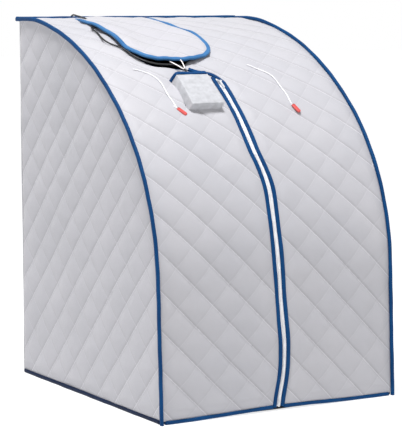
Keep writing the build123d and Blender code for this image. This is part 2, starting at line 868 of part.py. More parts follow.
for side_name, side in (("left", -1), ("right", 1)):
    x = side * pole_x
    with BuildPart() as lower_pole:
        with BuildLine(Plane.YZ.offset(x)) as lower_path:
            foot = front_point(pole_in, rail_z + hub_half)
            Line(foot, straight_front)
            ThreePointArc(
                straight_front,
                arc_point(lower_centre, lower_r - pole_in, (lean + knee) / 2),
                knee_front,
            )
        with BuildSketch(lower_path.line ^ 0):
            Circle(pole_dia / 2)
            Circle(pole_dia / 2 - pole_wall, mode=Mode.SUBTRACT)
        sweep()
    save(lower_pole.part, side_name + "_arch_lower_pole")

    with BuildPart() as upper_pole:
        with BuildLine(Plane.YZ.offset(x)) as upper_path:
            ThreePointArc(
                knee_front,
                arc_point(upper_centre, upper_r - pole_in, (knee + radians(90)) / 2),
                (crown_y, height - pole_in),
            )
        with BuildSketch(upper_path.line ^ 0):
            Circle(pole_dia / 2)
            Circle(pole_dia / 2 - pole_wall, mode=Mode.SUBTRACT)
        sweep()
        split(bisect_by=Plane.XZ.offset(-(rear_pole_y - hub_half - gap)), keep=Keep.TOP)
    save(upper_pole.part, side_name + "_arch_upper_pole")

    post_foot = (x, rear_pole_y, rail_z + hub_half)
    post_head = (x, rear_pole_y, top_pole_z - hub_half)
    save(straight_pole(post_foot, post_head), side_name + "_rear_post")
    rail_front = (x, front_pole_y + hub_half, rail_z)
    rail_rear = (x, rear_pole_y - hub_half, rail_z)
    save(straight_pole(rail_front, rail_rear), side_name + "_base_rail")

cross_end = pole_x - hub_half
for rail_name, rail_y, rail_height in (
    ("front_base_rail", front_pole_y, rail_z),
    ("rear_base_rail", rear_pole_y, rail_z),
    ("rear_top_rail", rear_pole_y, top_pole_z),
):
    save(
        straight_pole((-cross_end, rail_y, rail_height), (cross_end, rail_y, rail_height)), rail_name
    )


def corner_hub(place, directions):
    """A rounded block with a spigot in each direction."""
    with BuildPart() as hub:
        with BuildSketch(Plane(origin=(place[0], place[1], place[2] - hub_size / 2))):
            Rectangle(hub_size, hub_size)
        extrude(amount=hub_size)
        fillet(hub.edges(), radius=hub_fillet)
        for direction in directions:
            with BuildSketch(Plane(origin=place, z_dir=direction)):
                Circle(spigot_dia / 2)
            extrude(amount=hub_size / 2 + spigot_length)
    return hub.part


with BuildPart() as base_corners:
    for side in (-1, 1):
        add(
            corner_hub(
                (side * pole_x, front_pole_y, rail_z),
                [(0, sin(lean), cos(lean)), (0, 1, 0), (-side, 0, 0)],
            )
        )
        add(
            corner_hub(
                (side * pole_x, rear_pole_y, rail_z), [(0, 0, 1), (0, -1, 0), (-side, 0, 0)]
            )
        )
save(base_corners.part, "base_corner_connectors")

with BuildPart() as top_corners:
    for side in (-1, 1):
        add(
            corner_hub(
                (side * pole_x, rear_pole_y, top_pole_z), [(0, 0, -1), (0, -1, 0), (-side, 0, 0)]
            )
        )
save(top_corners.part, "top_corner_connectors")

# A sleeve over the joint between the lower and the upper pole of each arch.
half_ferrule_lower = ferrule_length / 2 / (lower_r - pole_in)
half_ferrule_upper = ferrule_length / 2 / (upper_r - pole_in)
with BuildPart() as ferrules:
    for side in (-1, 1):
        with BuildLine(Plane.YZ.offset(side * pole_x)) as ferrule_path:
            ThreePointArc(
                arc_point(lower_centre, lower_r - pole_in, knee - half_ferrule_lower),
                arc_point(lower_centre, lower_r - pole_in, knee - half_ferrule_lower / 2),
                knee_front,
            )
            ThreePointArc(
                knee_front,
                arc_point(upper_centre, upper_r - pole_in, knee + half_ferrule_upper / 2),
                arc_point(upper_centre, upper_r - pole_in, knee + half_ferrule_upper),
            )
        with BuildSketch(ferrule_path.line ^ 0):
            Circle(pole_dia / 2 - pole_wall - ferrule_clear)
            Circle(pole_dia / 2 - pole_wall - ferrule_clear - ferrule_wall, mode=Mode.SUBTRACT)
        sweep(path=ferrule_path.line)
save(ferrules.part, "arch_ferrules")
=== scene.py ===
import math

import bmesh
import bpy
import numpy as np
from mathutils import Matrix, Vector, noise


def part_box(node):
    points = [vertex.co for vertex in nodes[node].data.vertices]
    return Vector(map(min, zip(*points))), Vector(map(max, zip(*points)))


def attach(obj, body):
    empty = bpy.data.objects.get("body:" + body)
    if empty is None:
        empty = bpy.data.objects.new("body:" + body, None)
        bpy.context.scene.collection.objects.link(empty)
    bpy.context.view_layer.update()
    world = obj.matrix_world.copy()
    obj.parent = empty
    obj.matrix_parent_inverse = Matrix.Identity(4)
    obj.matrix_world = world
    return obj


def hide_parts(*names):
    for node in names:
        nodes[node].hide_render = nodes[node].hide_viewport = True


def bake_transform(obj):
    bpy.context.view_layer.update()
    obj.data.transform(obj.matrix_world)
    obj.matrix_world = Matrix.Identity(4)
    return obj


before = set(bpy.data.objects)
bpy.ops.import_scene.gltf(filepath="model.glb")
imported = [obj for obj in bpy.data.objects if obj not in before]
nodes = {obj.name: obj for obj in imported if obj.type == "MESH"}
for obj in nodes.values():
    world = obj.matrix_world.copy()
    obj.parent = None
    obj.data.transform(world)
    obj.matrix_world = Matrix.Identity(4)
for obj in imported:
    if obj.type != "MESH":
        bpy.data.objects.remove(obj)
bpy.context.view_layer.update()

scene = bpy.context.scene
scene.view_settings.view_transform = "Standard"

# camera, in front of the cabin and to its left
camera = {
    "place": (-2.50995, -4.23043, 1.00772),
    "turn": -30.68,            # degrees round the cabin from straight ahead
    "above": 6.47,
    "roll": -0.13,
    "lens": 154.0,
}


def addCamera():
    turn, above = math.radians(camera["turn"]), math.radians(camera["above"])
    back = Vector(
        (
            math.sin(turn) * math.cos(above),
            -math.cos(turn) * math.cos(above),
            math.sin(above),
        )
    )
    data = bpy.data.cameras.new("camera")
    data.lens = camera["lens"]
    data.clip_start, data.clip_end = 0.1, 60.0
    eye = bpy.data.objects.new("camera", data)
    scene.collection.objects.link(eye)
    facing = (-back).to_track_quat("-Z", "Y").to_matrix().to_4x4()
    roll = Matrix.Rotation(math.radians(camera["roll"]), 4, "Z")
    eye.matrix_world = Matrix.Translation(camera["place"]) @ facing @ roll
    scene.camera = eye


addCamera()

# cords, the controller's lead first
lead = {"diameter": 0.0044, "length": 2.5}
leadRoute = [
    (-0.104, -0.11104, 0.83491), (-0.1045, -0.086, 0.8545), (-0.116, -0.0680, 0.8595),
    (-0.140, -0.0610, 0.8590), (-0.166, -0.0540, 0.8615), (-0.192, -0.0430, 0.8685),
    (-0.212, -0.0210, 0.8808), (-0.2235, 0.0065, 0.8978), (-0.235, 0.0265, 0.9062),
    (-0.2485, 0.0440, 0.9128), (-0.2560, 0.0690, 0.9242), (-0.2510, 0.1080, 0.9412),
    (-0.246, 0.1420, 0.9478), (-0.232, 0.1797, 0.9590), (-0.214, 0.2240, 0.9672),
    (-0.200, 0.2678, 0.9755), (-0.191, 0.3120, 0.9795), (-0.186, 0.3540, 0.9830),
    (-0.182, 0.3870, 0.9872), (-0.180, 0.4150, 0.9680), (-0.179, 0.419, 0.9080),
    (-0.177, 0.412, 0.8480), (-0.174, 0.408, 0.7860), (-0.170, 0.4055, 0.7240),
    (-0.166, 0.404, 0.6620), (-0.162, 0.4035, 0.6000), (-0.159, 0.4038, 0.5380),
    (-0.157, 0.4045, 0.4760), (-0.1565, 0.4055, 0.4140), (-0.1575, 0.4065, 0.3520),
    (-0.160, 0.4072, 0.2900), (-0.163, 0.4075, 0.2280), (-0.165, 0.407, 0.1680),
    (-0.165, 0.4075, 0.1120), (-0.162, 0.409, 0.0660), (-0.156, 0.415, 0.0300),
    (-0.148, 0.429, 0.0070), (-0.1415, 0.441, 0.0026),
]
coil = {
    "centre": (-0.110, 0.444),
    "perTurn": 14,
    "radii": [0.0316, 0.0270, 0.0224, 0.0224, 0.0270, 0.0316],
    "heights": [0.0024, 0.0024, 0.0024, 0.0070, 0.0070, 0.0070],
    "turns": 5.25,
}
leadEnd = [(-0.106, 0.4757, 0.0062), (-0.1015, 0.4756, 0.0055)]


def coilTurns():
    steps = round(coil["turns"] * coil["perTurn"])
    turnMarks = np.arange(len(coil["radii"])) + 0.4
    route = []
    for step in range(1, steps + 1):
        done = step / coil["perTurn"]
        radius = np.interp(done, turnMarks, coil["radii"])
        height = np.interp(done, turnMarks, coil["heights"])
        radius = radius * 1.012 + 0.0005 * math.sin(2.3 * step)    # turns are not quite even
        angle = math.pi - 2 * math.pi * done
        route.append(
            (
                coil["centre"][0] + radius * math.cos(angle),
                coil["centre"][1] + radius * math.sin(angle),
                height + 0.00015 * math.sin(1.7 * step),
            )
        )
    return route[:-1]


def cordCurve(name, route, diameter, material):
    curve = bpy.data.curves.new(name, "CURVE")
    curve.dimensions = "3D"
    curve.bevel_depth = diameter / 2
    curve.bevel_resolution = 4
    curve.resolution_u = 8
    curve.use_fill_caps = True
    spline = curve.splines.new("NURBS")
    spline.points.add(len(route) - 1)
    for point, place in zip(spline.points, route):
        point.co = (*place, 1.0)
    spline.order_u = 3
    spline.use_endpoint_u = True
    curve.materials.append(material)
    cord = bpy.data.objects.new(name, curve)
    scene.collection.objects.link(cord)
    return cord


# finishes
def tint(red, green, blue):
    def linear(value):
        share = value / 255
        return share / 12.92 if share <= 0.04045 else ((share + 0.055) / 1.055) ** 2.4

    return (linear(red), linear(green), linear(blue), 1.0)


class Finish:
    def __init__(self, name, colour, roughness, **sockets):
        self.material = bpy.data.materials.new(name)
        self.material.use_nodes = True
        self.tree = self.material.node_tree
        self.shader = self.tree.nodes["Principled BSDF"]
        self.shader.inputs["Base Color"].default_value = colour
        self.shader.inputs["Roughness"].default_value = roughness
        for socket, value in sockets.items():
            self.shader.inputs[socket.replace("_", " ")].default_value = value

    def node(self, kind, **values):
        made = self.tree.nodes.new(kind)
        for key, value in values.items():
            if key in made.inputs:
                made.inputs[key].default_value = value
            else:
                setattr(made, key, value)
        return made

    def link(self, output, socket):
        self.tree.links.new(output, socket)

    def maths(self, operation, first, second=None, third=None):
        made = self.node("ShaderNodeMath", operation=operation)
        for index, value in enumerate((first, second, third)):
            if value is None:
                continue
            if isinstance(value, (int, float)):
                made.inputs[index].default_value = value
            else:
                self.link(value, made.inputs[index])
        return made.outputs[0]

    def times(self, first, *others):
        for other in others:
            first = self.maths("MULTIPLY", first, other)
        return first

    def place(self, kind="Object"):
        if kind == "UV":
            return self.node("ShaderNodeUVMap", uv_map="cloth").outputs["UV"]
        return self.node("ShaderNodeTexCoord").outputs[kind]

    def mottle(self, place, scale, detail=3.0, roughness=0.55):
        made = self.node("ShaderNodeTexNoise", Scale=scale, Detail=detail, Roughness=roughness)
        self.link(place, made.inputs["Vector"])
        return made.outputs["Fac"]

    def ramp(self, value, stops):
        made = self.node("ShaderNodeValToRGB")
        elements = made.color_ramp.elements
        while len(elements) < len(stops):
            elements.new(0.5)
        for element, (position, colour) in zip(elements, stops):
            element.position = position
            element.color = colour
        self.link(value, made.inputs["Fac"])
        return made.outputs["Color"]

    def mix(self, share, first, second):
        made = self.node("ShaderNodeMix", data_type="RGBA")
        for value, index in ((share, 0), (first, 6), (second, 7)):
            socket = made.inputs[index]
            if hasattr(value, "links"):
                self.link(value, socket)
            else:
                socket.default_value = value
        return made.outputs[2]

    def bump(self, *layers):
        normal = None
        for height, strength, distance in layers:
            made = self.node("ShaderNodeBump", Strength=strength, Distance=distance)
            self.link(height, made.inputs["Height"])
            if normal is not None:
                self.link(normal, made.inputs["Normal"])
            normal = made.outputs["Normal"]
        self.link(normal, self.shader.inputs["Normal"])

    def colour(self, output):
        self.link(output, self.shader.inputs["Base Color"])

    def rough(self, output):
        self.link(output, self.shader.inputs["Roughness"])


def weave(finish, place, pitch):
    split = finish.node("ShaderNodeSeparateXYZ")
    finish.link(place, split.inputs[0])
    threads = []
    for axis in ("X", "Y"):
        threads.append(finish.maths("SINE", finish.times(split.outputs[axis], 2 * math.pi / pitch)))
    return finish.times(*threads)


quilt = {
    "pitch": 0.0975,           # between stitch lines, measured level
    "puff": 0.0066,
    "fullness": 0.6,           # lower makes flatter puffs with steeper edges
    "second": 0.30,            # share of the puff made by the second set of lines
    "seat": 0.0022,            # stitched lines below the cloth's nominal face
    "edgeSoft": 0.030,
    "pucker": 0.00045,
    "puckerPitch": 0.015,
    "puckerReach": (0.008, 0.006),
    "thickness": 0.0042,
}
# where the two sets of stitch lines start on each panel, in shares of the pitch
seams = {
    "frontLeft": (0.12, 0.11),
    "frontRight": (0.32, 0.51),
    "side": (0.46, 0.06),
    "rear": (0.2, 0.7),
    "flap": (0.35, 0.6),
}
# stitched lines: a dashed stitch pattern, painted lighter than the cloth as a painted highlight along each
# line
stitchAndHighlight = {"halfWidth": 0.0155, "stitch": 0.0062, "sewn": 0.68, "brighter": 1.30, "share": 0.9}
stitchShadow = {"above": 0.040, "spread": 0.05, "darker": 0.80, "share": 0.75}     # painted shade in a band just above each stitch line; above and spread in pitches


def shaded(colour, share):
    return tuple(min(share * part, 1.0) for part in colour[:3]) + (1.0,)


def clothFinish(name, colour, panel, shade, second=0.28):
    finish = Finish(name, colour, 0.5, Sheen_Weight=0.25, Sheen_Roughness=0.4)
    finish.shader.inputs["Specular IOR Level"].default_value = 0.35
    place = finish.place("UV")
    body = finish.place()
    broad = finish.mottle(body, 5.0, 4.0)
    fine = finish.mottle(place, 60.0, 5.0, 0.7)
    light = finish.ramp(broad, [(0.3, shade), (0.7, colour)])
    tone = finish.mix(finish.times(fine, 0.5), light, shaded(colour, 0.93))
    split = finish.node("ShaderNodeSeparateXYZ")
    finish.link(place, split.inputs[0])
    across, along = split.outputs["X"], split.outputs["Y"]
    lines, shadowBands = [], []      # stitched lines, and the painted shade just above each
    for sign, phase, strength in zip((-1, 1), seams[panel], (1.0, second)):
        skew = finish.maths("MULTIPLY_ADD", across, sign, along)
        count = finish.maths("MULTIPLY_ADD", skew, 1 / quilt["pitch"], 40 - phase)

        def toLine(shift):
            # how far from the nearest line, in pitches, with the lines moved by a shift
            part = finish.maths("FRACT", finish.maths("ADD", count, 0.5 + shift))
            return finish.maths("SUBTRACT", part, 0.5)

        onLine = finish.maths("LESS_THAN", finish.maths("ABSOLUTE", toLine(0)), stitchAndHighlight["halfWidth"])
        run = finish.maths("MULTIPLY_ADD", across, -sign, along)
        dash = finish.maths("FRACT", finish.times(run, 1 / stitchAndHighlight["stitch"]))
        stitch = finish.maths("MULTIPLY_ADD", finish.maths("LESS_THAN", dash, stitchAndHighlight["sewn"]), 0.5, 0.5)
        lines.append(finish.times(onLine, stitch, strength))
        above = toLine(stitchShadow["above"])
        spread = finish.times(above, above, -1 / stitchShadow["spread"] ** 2)
        shadowBands.append(finish.times(finish.maths("EXPONENT", spread), strength))
    threads, creases = finish.maths("MAXIMUM", *lines), finish.maths("MAXIMUM", *shadowBands)
    # painted shade: the creases mask is the darker band just above each stitch line
    tone = finish.mix(finish.times(creases, stitchShadow["share"]), tone, shaded(colour, stitchShadow["darker"]))
    # the stitched lines: a real stitch pattern, made lighter as a painted highlight
    tone = finish.mix(finish.times(threads, stitchAndHighlight["share"]), tone, shaded(colour, stitchAndHighlight["brighter"]))
    finish.colour(tone)
    finish.rough(finish.maths("MULTIPLY_ADD", fine, 0.25, 0.42))
    finish.bump(
        (weave(finish, place, 0.0016), 0.25, 0.0002),
        (fine, 0.5, 0.0011),
        (threads, 0.5, 0.0004),
    )
    return finish.material


def tapeFinish(name, colour, worn):
    finish = Finish(name, colour, 0.75)
    finish.shader.inputs["Specular IOR Level"].default_value = 0.12
    place = finish.place("UV")
    broad = finish.mottle(finish.place(), 14.0, 4.0)
    fine = finish.mottle(place, 220.0, 4.0, 0.7)
    tone = finish.ramp(broad, [(0.25, colour), (0.8, worn)])
    finish.colour(finish.mix(finish.times(fine, 0.35), tone, worn))
    finish.rough(finish.maths("MULTIPLY_ADD", fine, 0.3, 0.42))
    split = finish.node("ShaderNodeSeparateXYZ")
    finish.link(place, split.inputs[0])
    ribs = finish.maths("SINE", finish.times(split.outputs["Y"], 2 * math.pi / 0.0012))
    finish.bump((ribs, 0.3, 0.0002), (fine, 0.3, 0.0004))
    return finish.material


def plainFinish(name, colour, roughness, grain, bumpDepth, **sockets):
    finish = Finish(name, colour, roughness, **sockets)
    place = finish.place()
    fine = finish.mottle(place, grain, 4.0, 0.6)
    broad = finish.mottle(place, grain / 12, 3.0)
    finish.colour(finish.ramp(broad, [(0.3, shaded(colour, 0.78)), (0.7, colour)]))
    finish.rough(finish.maths("MULTIPLY_ADD", fine, 0.2, roughness - 0.1))
    finish.bump((fine, 0.35, bumpDepth))
    return finish.material


clothColour = tint(176, 175, 180)
clothShade = tint(170, 170, 176)
finishes = {
    "clothFrontLeft": clothFinish("quilted_cloth_front_left", clothColour, "frontLeft", clothShade),
    "clothFrontRight": clothFinish("quilted_cloth_front_right", clothColour, "frontRight", clothShade),
    "clothSide": clothFinish("quilted_cloth_side", tint(180, 179, 185), "side", clothShade, 0.5),
    "clothRear": clothFinish("quilted_cloth_rear", clothColour, "rear", clothShade),
    "clothFlap": clothFinish("quilted_cloth_flap", tint(177, 176, 181), "flap", tint(172, 171, 178)),
    "pocketCloth": plainFinish("pocket_cloth", tint(180, 181, 186), 0.5, 900.0, 0.0003, Sheen_Weight=0.3),
    "tapeBlue": tapeFinish("blue_binding_tape", tint(0, 46, 90), tint(4, 66, 116)),
    # a lighter copy of the blue binding tape for the flap's edge: painted light
    "flapTapePaintedLight": tapeFinish("flap_edge_tape", tint(36, 86, 134), tint(66, 116, 164)),
    # a darker copy of the blue binding tape, for the base hem and the neck band: painted shade
    "tapeBluePaintedShade": tapeFinish("blue_tape_painted_shade", tint(3, 18, 44), tint(8, 32, 66)),
    "zipTape": tapeFinish("white_zip_tape", tint(238, 238, 240), tint(247, 247, 249)),
    "armZipTape": tapeFinish("arm_zip_tape", tint(222, 222, 226), tint(232, 232, 236)),
    "zipTeeth": plainFinish("zip_teeth", tint(243, 243, 245), 0.35, 500.0, 0.0001),
    "zipMetal": plainFinish("zip_metal", tint(222, 223, 227), 0.35, 700.0, 0.0001, Metallic=0.2),
    "pullRed": plainFinish("red_rubber", tint(206, 80, 76), 0.42, 900.0, 0.0002, Coat_Weight=0.2),
    "poleSteel": plainFinish("painted_steel_pole", tint(206, 208, 210), 0.38, 500.0, 0.0001, Metallic=0.6),
    "ferruleSteel": plainFinish("bare_steel_ferrule", tint(168, 170, 172), 0.3, 700.0, 0.0001, Metallic=1.0),
    "hubPlastic": plainFinish("black_nylon_corner", tint(38, 39, 42), 0.5, 800.0, 0.0002),
    "board": plainFinish("green_board", tint(34, 96, 60), 0.45, 600.0, 0.0001),
    "display": plainFinish("display_window", tint(18, 22, 26), 0.08, 90.0, 0.00005, Coat_Weight=0.6),
    "casePlastic": plainFinish("controller_plastic", tint(58, 61, 66), 0.48, 1400.0, 0.00015),
    "buttonRubber": plainFinish("button_rubber", tint(188, 190, 194), 0.6, 900.0, 0.0002),
    "portPlastic": plainFinish("port_plastic", tint(66, 68, 72), 0.42, 1100.0, 0.00015),
    "leadRubber": plainFinish("lead_rubber", tint(20, 20, 23), 0.5, 700.0, 0.0001),
    "cordWhite": plainFinish("drawstring_cotton", tint(252, 246, 246), 0.75, 1500.0, 0.0003),
    "lining": plainFinish("floor_mat_cloth", tint(92, 94, 100), 0.6, 600.0, 0.0004),
}
print("finishes made:", len(finishes))

wholeLead = leadRoute + coilTurns() + leadEnd
leadCord = cordCurve("controller_lead", wholeLead, lead["diameter"], finishes["leadRubber"])
drawstring = {"diameter": 0.0030, "length": 0.093}
drawstringRoute = [
    (-0.0940, -0.0520, 0.8725), (-0.0955, -0.0630, 0.8680), (-0.0985, -0.0790, 0.8590),
    (-0.1015, -0.0890, 0.8515), (-0.1050, -0.0945, 0.8475), (-0.1085, -0.0925, 0.8490),
    (-0.1120, -0.0860, 0.8530), (-0.1188, -0.0757, 0.8590), (-0.1240, -0.0680, 0.8635),
    (-0.1285, -0.0620, 0.8665),
]
stringCord = cordCurve("drawstring_loop", drawstringRoute, drawstring["diameter"], finishes["cordWhite"])
print("cords laid")

# side outline of the cabin, the same arcs as in the frame
outline = {"lean": 2.5, "straight": 0.346, "turn": 43.0, "flat": 0.030}
archLow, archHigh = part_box("left_arch_binding")
sideLow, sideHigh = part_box("left_side_panel")
frontY, rearY, topZ = archLow.y, archHigh.y, archHigh.z
halfWidth = -archLow.x
lean = math.radians(outline["lean"])
knee = math.radians(outline["lean"] + outline["turn"])


def solveArcs():
    rise = topZ - outline["straight"] * math.cos(lean)
    run = rearY - frontY - outline["flat"] - outline["straight"] * math.sin(lean)
    lowRise, highRise = math.sin(knee) - math.sin(lean), 1 - math.sin(knee)
    lowRun, highRun = math.cos(lean) - math.cos(knee), math.cos(knee)
    whole = lowRise * highRun - highRise * lowRun
    return (rise * highRun - highRise * run) / whole, (lowRise * run - lowRun * rise) / whole


lowR, highR = solveArcs()
crownY = rearY - outline["flat"]
lowCentre = (
    frontY + outline["straight"] * math.sin(lean) + lowR * math.cos(lean),
    outline["straight"] * math.cos(lean) - lowR * math.sin(lean),
)
highCentre = (crownY, topZ - highR)
upperSweep = math.pi / 2 - knee
kneeArc = outline["flat"] + highR * upperSweep
footArc = kneeArc + lowR * (knee - lean)
wholeArc = footArc + outline["straight"]


def outlineAt(arc, out):
    # y and z at a length along the outline from the rear top edge, and a distance outside it
    arc = np.asarray(arc, float)
    tilt = np.where(
        arc < outline["flat"],
        0.0,
        np.where(
            arc < kneeArc,
            (arc - outline["flat"]) / highR,
            np.minimum(upperSweep + (arc - kneeArc) / lowR, math.pi / 2 - lean),
        ),
    )
    low = arc >= kneeArc
    centreY = np.where(low, lowCentre[0], highCentre[0])
    centreZ = np.where(low, lowCentre[1], highCentre[1])
    radius = np.where(low, lowR, highR) + out
    y = centreY - radius * np.sin(tilt)
    z = centreZ + radius * np.cos(tilt)
    behind = np.maximum(outline["flat"] - arc, 0)
    below = np.maximum(arc - footArc, 0)
    return y + behind - below * math.sin(lean), z - below * math.cos(lean), tilt


def arcAt(y):
    # length along the outline to the place above this y
    y = np.asarray(y, float)
    kneeY = crownY - highR * math.sin(upperSweep)
    high = outline["flat"] + highR * np.arcsin(np.clip((crownY - y) / highR, 0, 1))
    low = kneeArc + lowR * (np.arcsin(np.clip((lowCentre[0] - y) / lowR, 0, 1)) - upperSweep)
    return np.where(y > crownY, rearY - y, np.where(y >= kneeY, high, low))


def through(knots, at):
    # smooth curve through knots of (place, value)
    places, values = np.array(knots, float).T
    slopes = np.gradient(values, places)
    index = np.clip(np.searchsorted(places, at) - 1, 0, len(places) - 2)
    gap = places[index + 1] - places[index]
    t = np.clip((at - places[index]) / gap, 0, 1)
    first, last = values[index], values[index + 1]
    start, stop = slopes[index] * gap, slopes[index + 1] * gap
    return (
        first * (2 * t**3 - 3 * t**2 + 1)
        + start * (t**3 - 2 * t**2 + t)
        + last * (3 * t**2 - 2 * t**3)
        + stop * (t**3 - t**2)
    )


def smoothLine(points, count):
    # evenly spaced points on a smooth curve through given ones
    points = np.array(points, float)
    lengths = np.concatenate([[0], np.cumsum(np.linalg.norm(np.diff(points, axis=0), axis=1))])
    at = np.linspace(0, lengths[-1], count)
    return np.stack([through(np.stack([lengths, values], -1), at) for values in points.T], -1)


def ripple(points, size, seed):
    shift = Vector((seed * 3.7, seed * 1.3, seed * 2.1))
    return np.array([noise.noise(Vector(point) / size + shift) for point in points])


def rumple(points, waves, shift=0):
    # uneven cloth as a sum of waves, each a height, a width and a seed
    return sum(height * ripple(points, width, seed + shift) for height, width, seed in waves)


def smoothStep(value):
    value = np.clip(value, 0, 1)
    return value * value * (3 - 2 * value)


mainZip = {
    "edge": 0.0062,            # from the middle to the bands
    "bandWidth": 0.0108,
    "band": (0.0110, 0.0030),  # height and corner
    "bandSink": -0.0040,
    "tape": (0.0062, 0.0014, 0.0005),
    "tapeSink": -0.0036,
    "tooth": (0.0042, 0.0019, 0.0018),
    "toothPitch": 0.0032,
    "toothSink": -0.0018,
    "topY": -0.111,
    "bandTops": {-1: -0.009, 1: 0.014},         # where each band starts, below the zip's top
    "sliderDown": 0.005,
    "wander": [
        (0.000, -0.010), (0.030, -0.006), (0.080, 0.004), (0.140, 0.010),
        (0.280, 0.005), (0.480, 0.000), (0.575, 0.003), (0.655, -0.010),
        (0.740, -0.012), (0.830, -0.012), (0.990, -0.012),
    ],
    "hemLift": 0.006,          # the hem lies higher near the zip
    "liftReach": 0.16,
    "liftTo": 0.12,
}
belly = {"size": 0.006, "height": 0.13, "spread": 0.14, "half": 0.33}      # the low front stands out a little
hemUp = 0.0085                 # from the floor to the end of the front cloth
lowestCloth = 0.0003
faceInset = -sideLow.x - halfWidth       # the cloth's nominal face, below the bound edges
zipTopArc = float(arcAt(mainZip["topY"]))
hemArc = wholeArc - hemUp


def zipCentre(arc):
    return through(mainZip["wander"], outlineAt(arc, 0)[1])


def frontPlace(x, arc, out):
    # a point on the front and roof: x, length down from the rear edge, height over the cloth's face
    x, arc = np.asarray(x, float), np.asarray(arc, float)
    z = outlineAt(arc, 0)[1]
    middle = np.clip(1 - (x / belly["half"]) ** 2, 0, 1)
    bulge = belly["size"] * np.exp(-(((z - belly["height"]) / belly["spread"]) ** 2)) * middle
    y, z = outlineAt(arc, out + bulge + faceInset)[:2]
    near = np.exp(-(((x - zipCentre(arc)) / mainZip["liftReach"]) ** 2))
    z = z + mainZip["hemLift"] * near * np.clip(1 - z / mainZip["liftTo"], 0, 1)
    return np.stack([x, y, np.maximum(z, lowestCloth)], -1)


def quiltRise(across, along, panel, edges, depth=1.0, second=quilt["second"]):
    phases = seams[panel]
    down = (along - across) / quilt["pitch"] - phases[0]
    up = (along + across) / quilt["pitch"] - phases[1]
    reach = quilt["pitch"] / math.sqrt(2)
    toDown = np.abs(down - np.round(down)) * reach
    toUp = np.abs(up - np.round(up)) * reach
    ridge = np.abs(np.sin(np.pi * down)) ** quilt["fullness"]
    crossed = np.abs(np.sin(np.pi * up)) ** quilt["fullness"]
    rise = quilt["puff"] * ridge * (1 - second + second * crossed)
    turn = 2 * np.pi / quilt["puckerPitch"]
    nearDown, nearUp = quilt["puckerReach"]
    puckers = np.sin((along + across) * turn / 1.4 + 4 * np.sin(up * 2.1)) * np.exp(-toDown / nearDown)
    puckers += 0.6 * np.sin((along - across) * turn / 1.3 + 3 * np.sin(down * 1.7)) * np.exp(-toUp / nearUp)
    share = smoothStep(edges / quilt["edgeSoft"])
    return (depth * rise + quilt["pucker"] * puckers) * share - quilt["seat"]


# mesh helpers
def gridOf(columns, rows):
    mesh = bmesh.new()
    bmesh.ops.create_grid(mesh, x_segments=columns, y_segments=rows, size=1.0)
    flat = np.array([vert.co[:2] for vert in mesh.verts])
    return mesh, (flat[:, 0] + 1) / 2, (flat[:, 1] + 1) / 2


def placeVerts(mesh, points, layerPoints=None):
    for vert, point in zip(mesh.verts, points):
        vert.co = point
    if layerPoints is not None:
        mesh.verts.index_update()
        layer = mesh.loops.layers.uv.new("cloth")
        for face in mesh.faces:
            for loop in face.loops:
                loop[layer].uv = layerPoints[loop.vert.index]


def outwards(mesh, inside):
    # turns the faces of an open sheet away from a point inside the cabin
    total = 0.0
    for face in mesh.faces:
        total += face.normal.dot(face.calc_center_median() - inside) * face.calc_area()
    if total < 0:
        bmesh.ops.reverse_faces(mesh, faces=mesh.faces[:])


def pieceOf(name, mesh, material, smooth=True):
    data = bpy.data.meshes.new(name)
    mesh.normal_update()
    mesh.to_mesh(data)
    mesh.free()
    data.polygons.foreach_set("use_smooth", [smooth] * len(data.polygons))
    data.materials.append(material)
    piece = bpy.data.objects.new(name, data)
    scene.collection.objects.link(piece)
    return piece


cabinMiddle = Vector((0, 0.12, 0.42))


def sewn(name, mesh, material, thickness, inside=cabinMiddle):
    # a placed sheet, turned outwards and given its thickness
    mesh.normal_update()
    outwards(mesh, inside)
    piece = pieceOf(name, mesh, material)
    wall = piece.modifiers.new("wall", "SOLIDIFY")
    wall.thickness = thickness
    wall.offset = -1.0
    wall.use_even_offset = False
    return piece


def sheetPiece(name, cells, place, material, thickness, inside=cabinMiddle):
    mesh, u, v = gridOf(*cells)
    placeVerts(mesh, *place(u, v))
    return sewn(name, mesh, material, thickness, inside)


def sweepPiece(name, ring, stations, place, material):
    # a band: ring is its section as (across, height) pairs, place puts them at each station
    count = len(ring)
    mesh, u, v = gridOf(count, len(stations) - 1)
    ringIndex = np.round(u * count).astype(int) % count
    stationIndex = np.round(v * (len(stations) - 1)).astype(int)
    section = np.array(ring)[ringIndex]
    along = np.array(stations, float)[stationIndex]
    points = place(section[:, 0], section[:, 1], along, stationIndex)
    girth = u * sum(math.dist(ring[k], ring[k - 1]) for k in range(count))
    placeVerts(mesh, points, np.stack([girth, along], -1))
    bmesh.ops.remove_doubles(mesh, verts=mesh.verts[:], dist=1e-6)
    bmesh.ops.holes_fill(mesh, edges=[edge for edge in mesh.edges if edge.is_boundary], sides=0)
    bmesh.ops.recalc_face_normals(mesh, faces=mesh.faces[:])
    return pieceOf(name, mesh, material)


def roundedSection(width, height, corner, steps=3):
    # corner points of a rounded rectangle, centred on its middle
    section = []
    for cornerX, cornerY, start in ((1, 1, 0), (-1, 1, 90), (-1, -1, 180), (1, -1, 270)):
        for step in range(steps + 1):
            angle = math.radians(start + 90 * step / steps)
            section.append(
                (
                    cornerX * (width / 2 - corner) + corner * math.cos(angle),
                    cornerY * (height / 2 - corner) + corner * math.sin(angle),
                )
            )
    return section


def alongLine(line):
    # lengths along a flat line, and the way aside at each of its points
    heading = np.gradient(line, axis=0)
    heading /= np.linalg.norm(heading, axis=1)[:, None]
    lengths = np.concatenate([[0], np.cumsum(np.linalg.norm(np.diff(line, axis=0), axis=1))])
    return lengths, np.stack([-heading[:, 1], heading[:, 0]], -1)


def noteSlot(replaced):
    if replaced:
        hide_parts(*replaced)


def ride(piece, body, slot, *replaced):
    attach(piece, body)
    noteSlot(replaced)


def hang(piece, door, slot, *replaced):
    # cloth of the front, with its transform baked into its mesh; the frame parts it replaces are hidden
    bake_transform(piece)
    noteSlot(replaced)


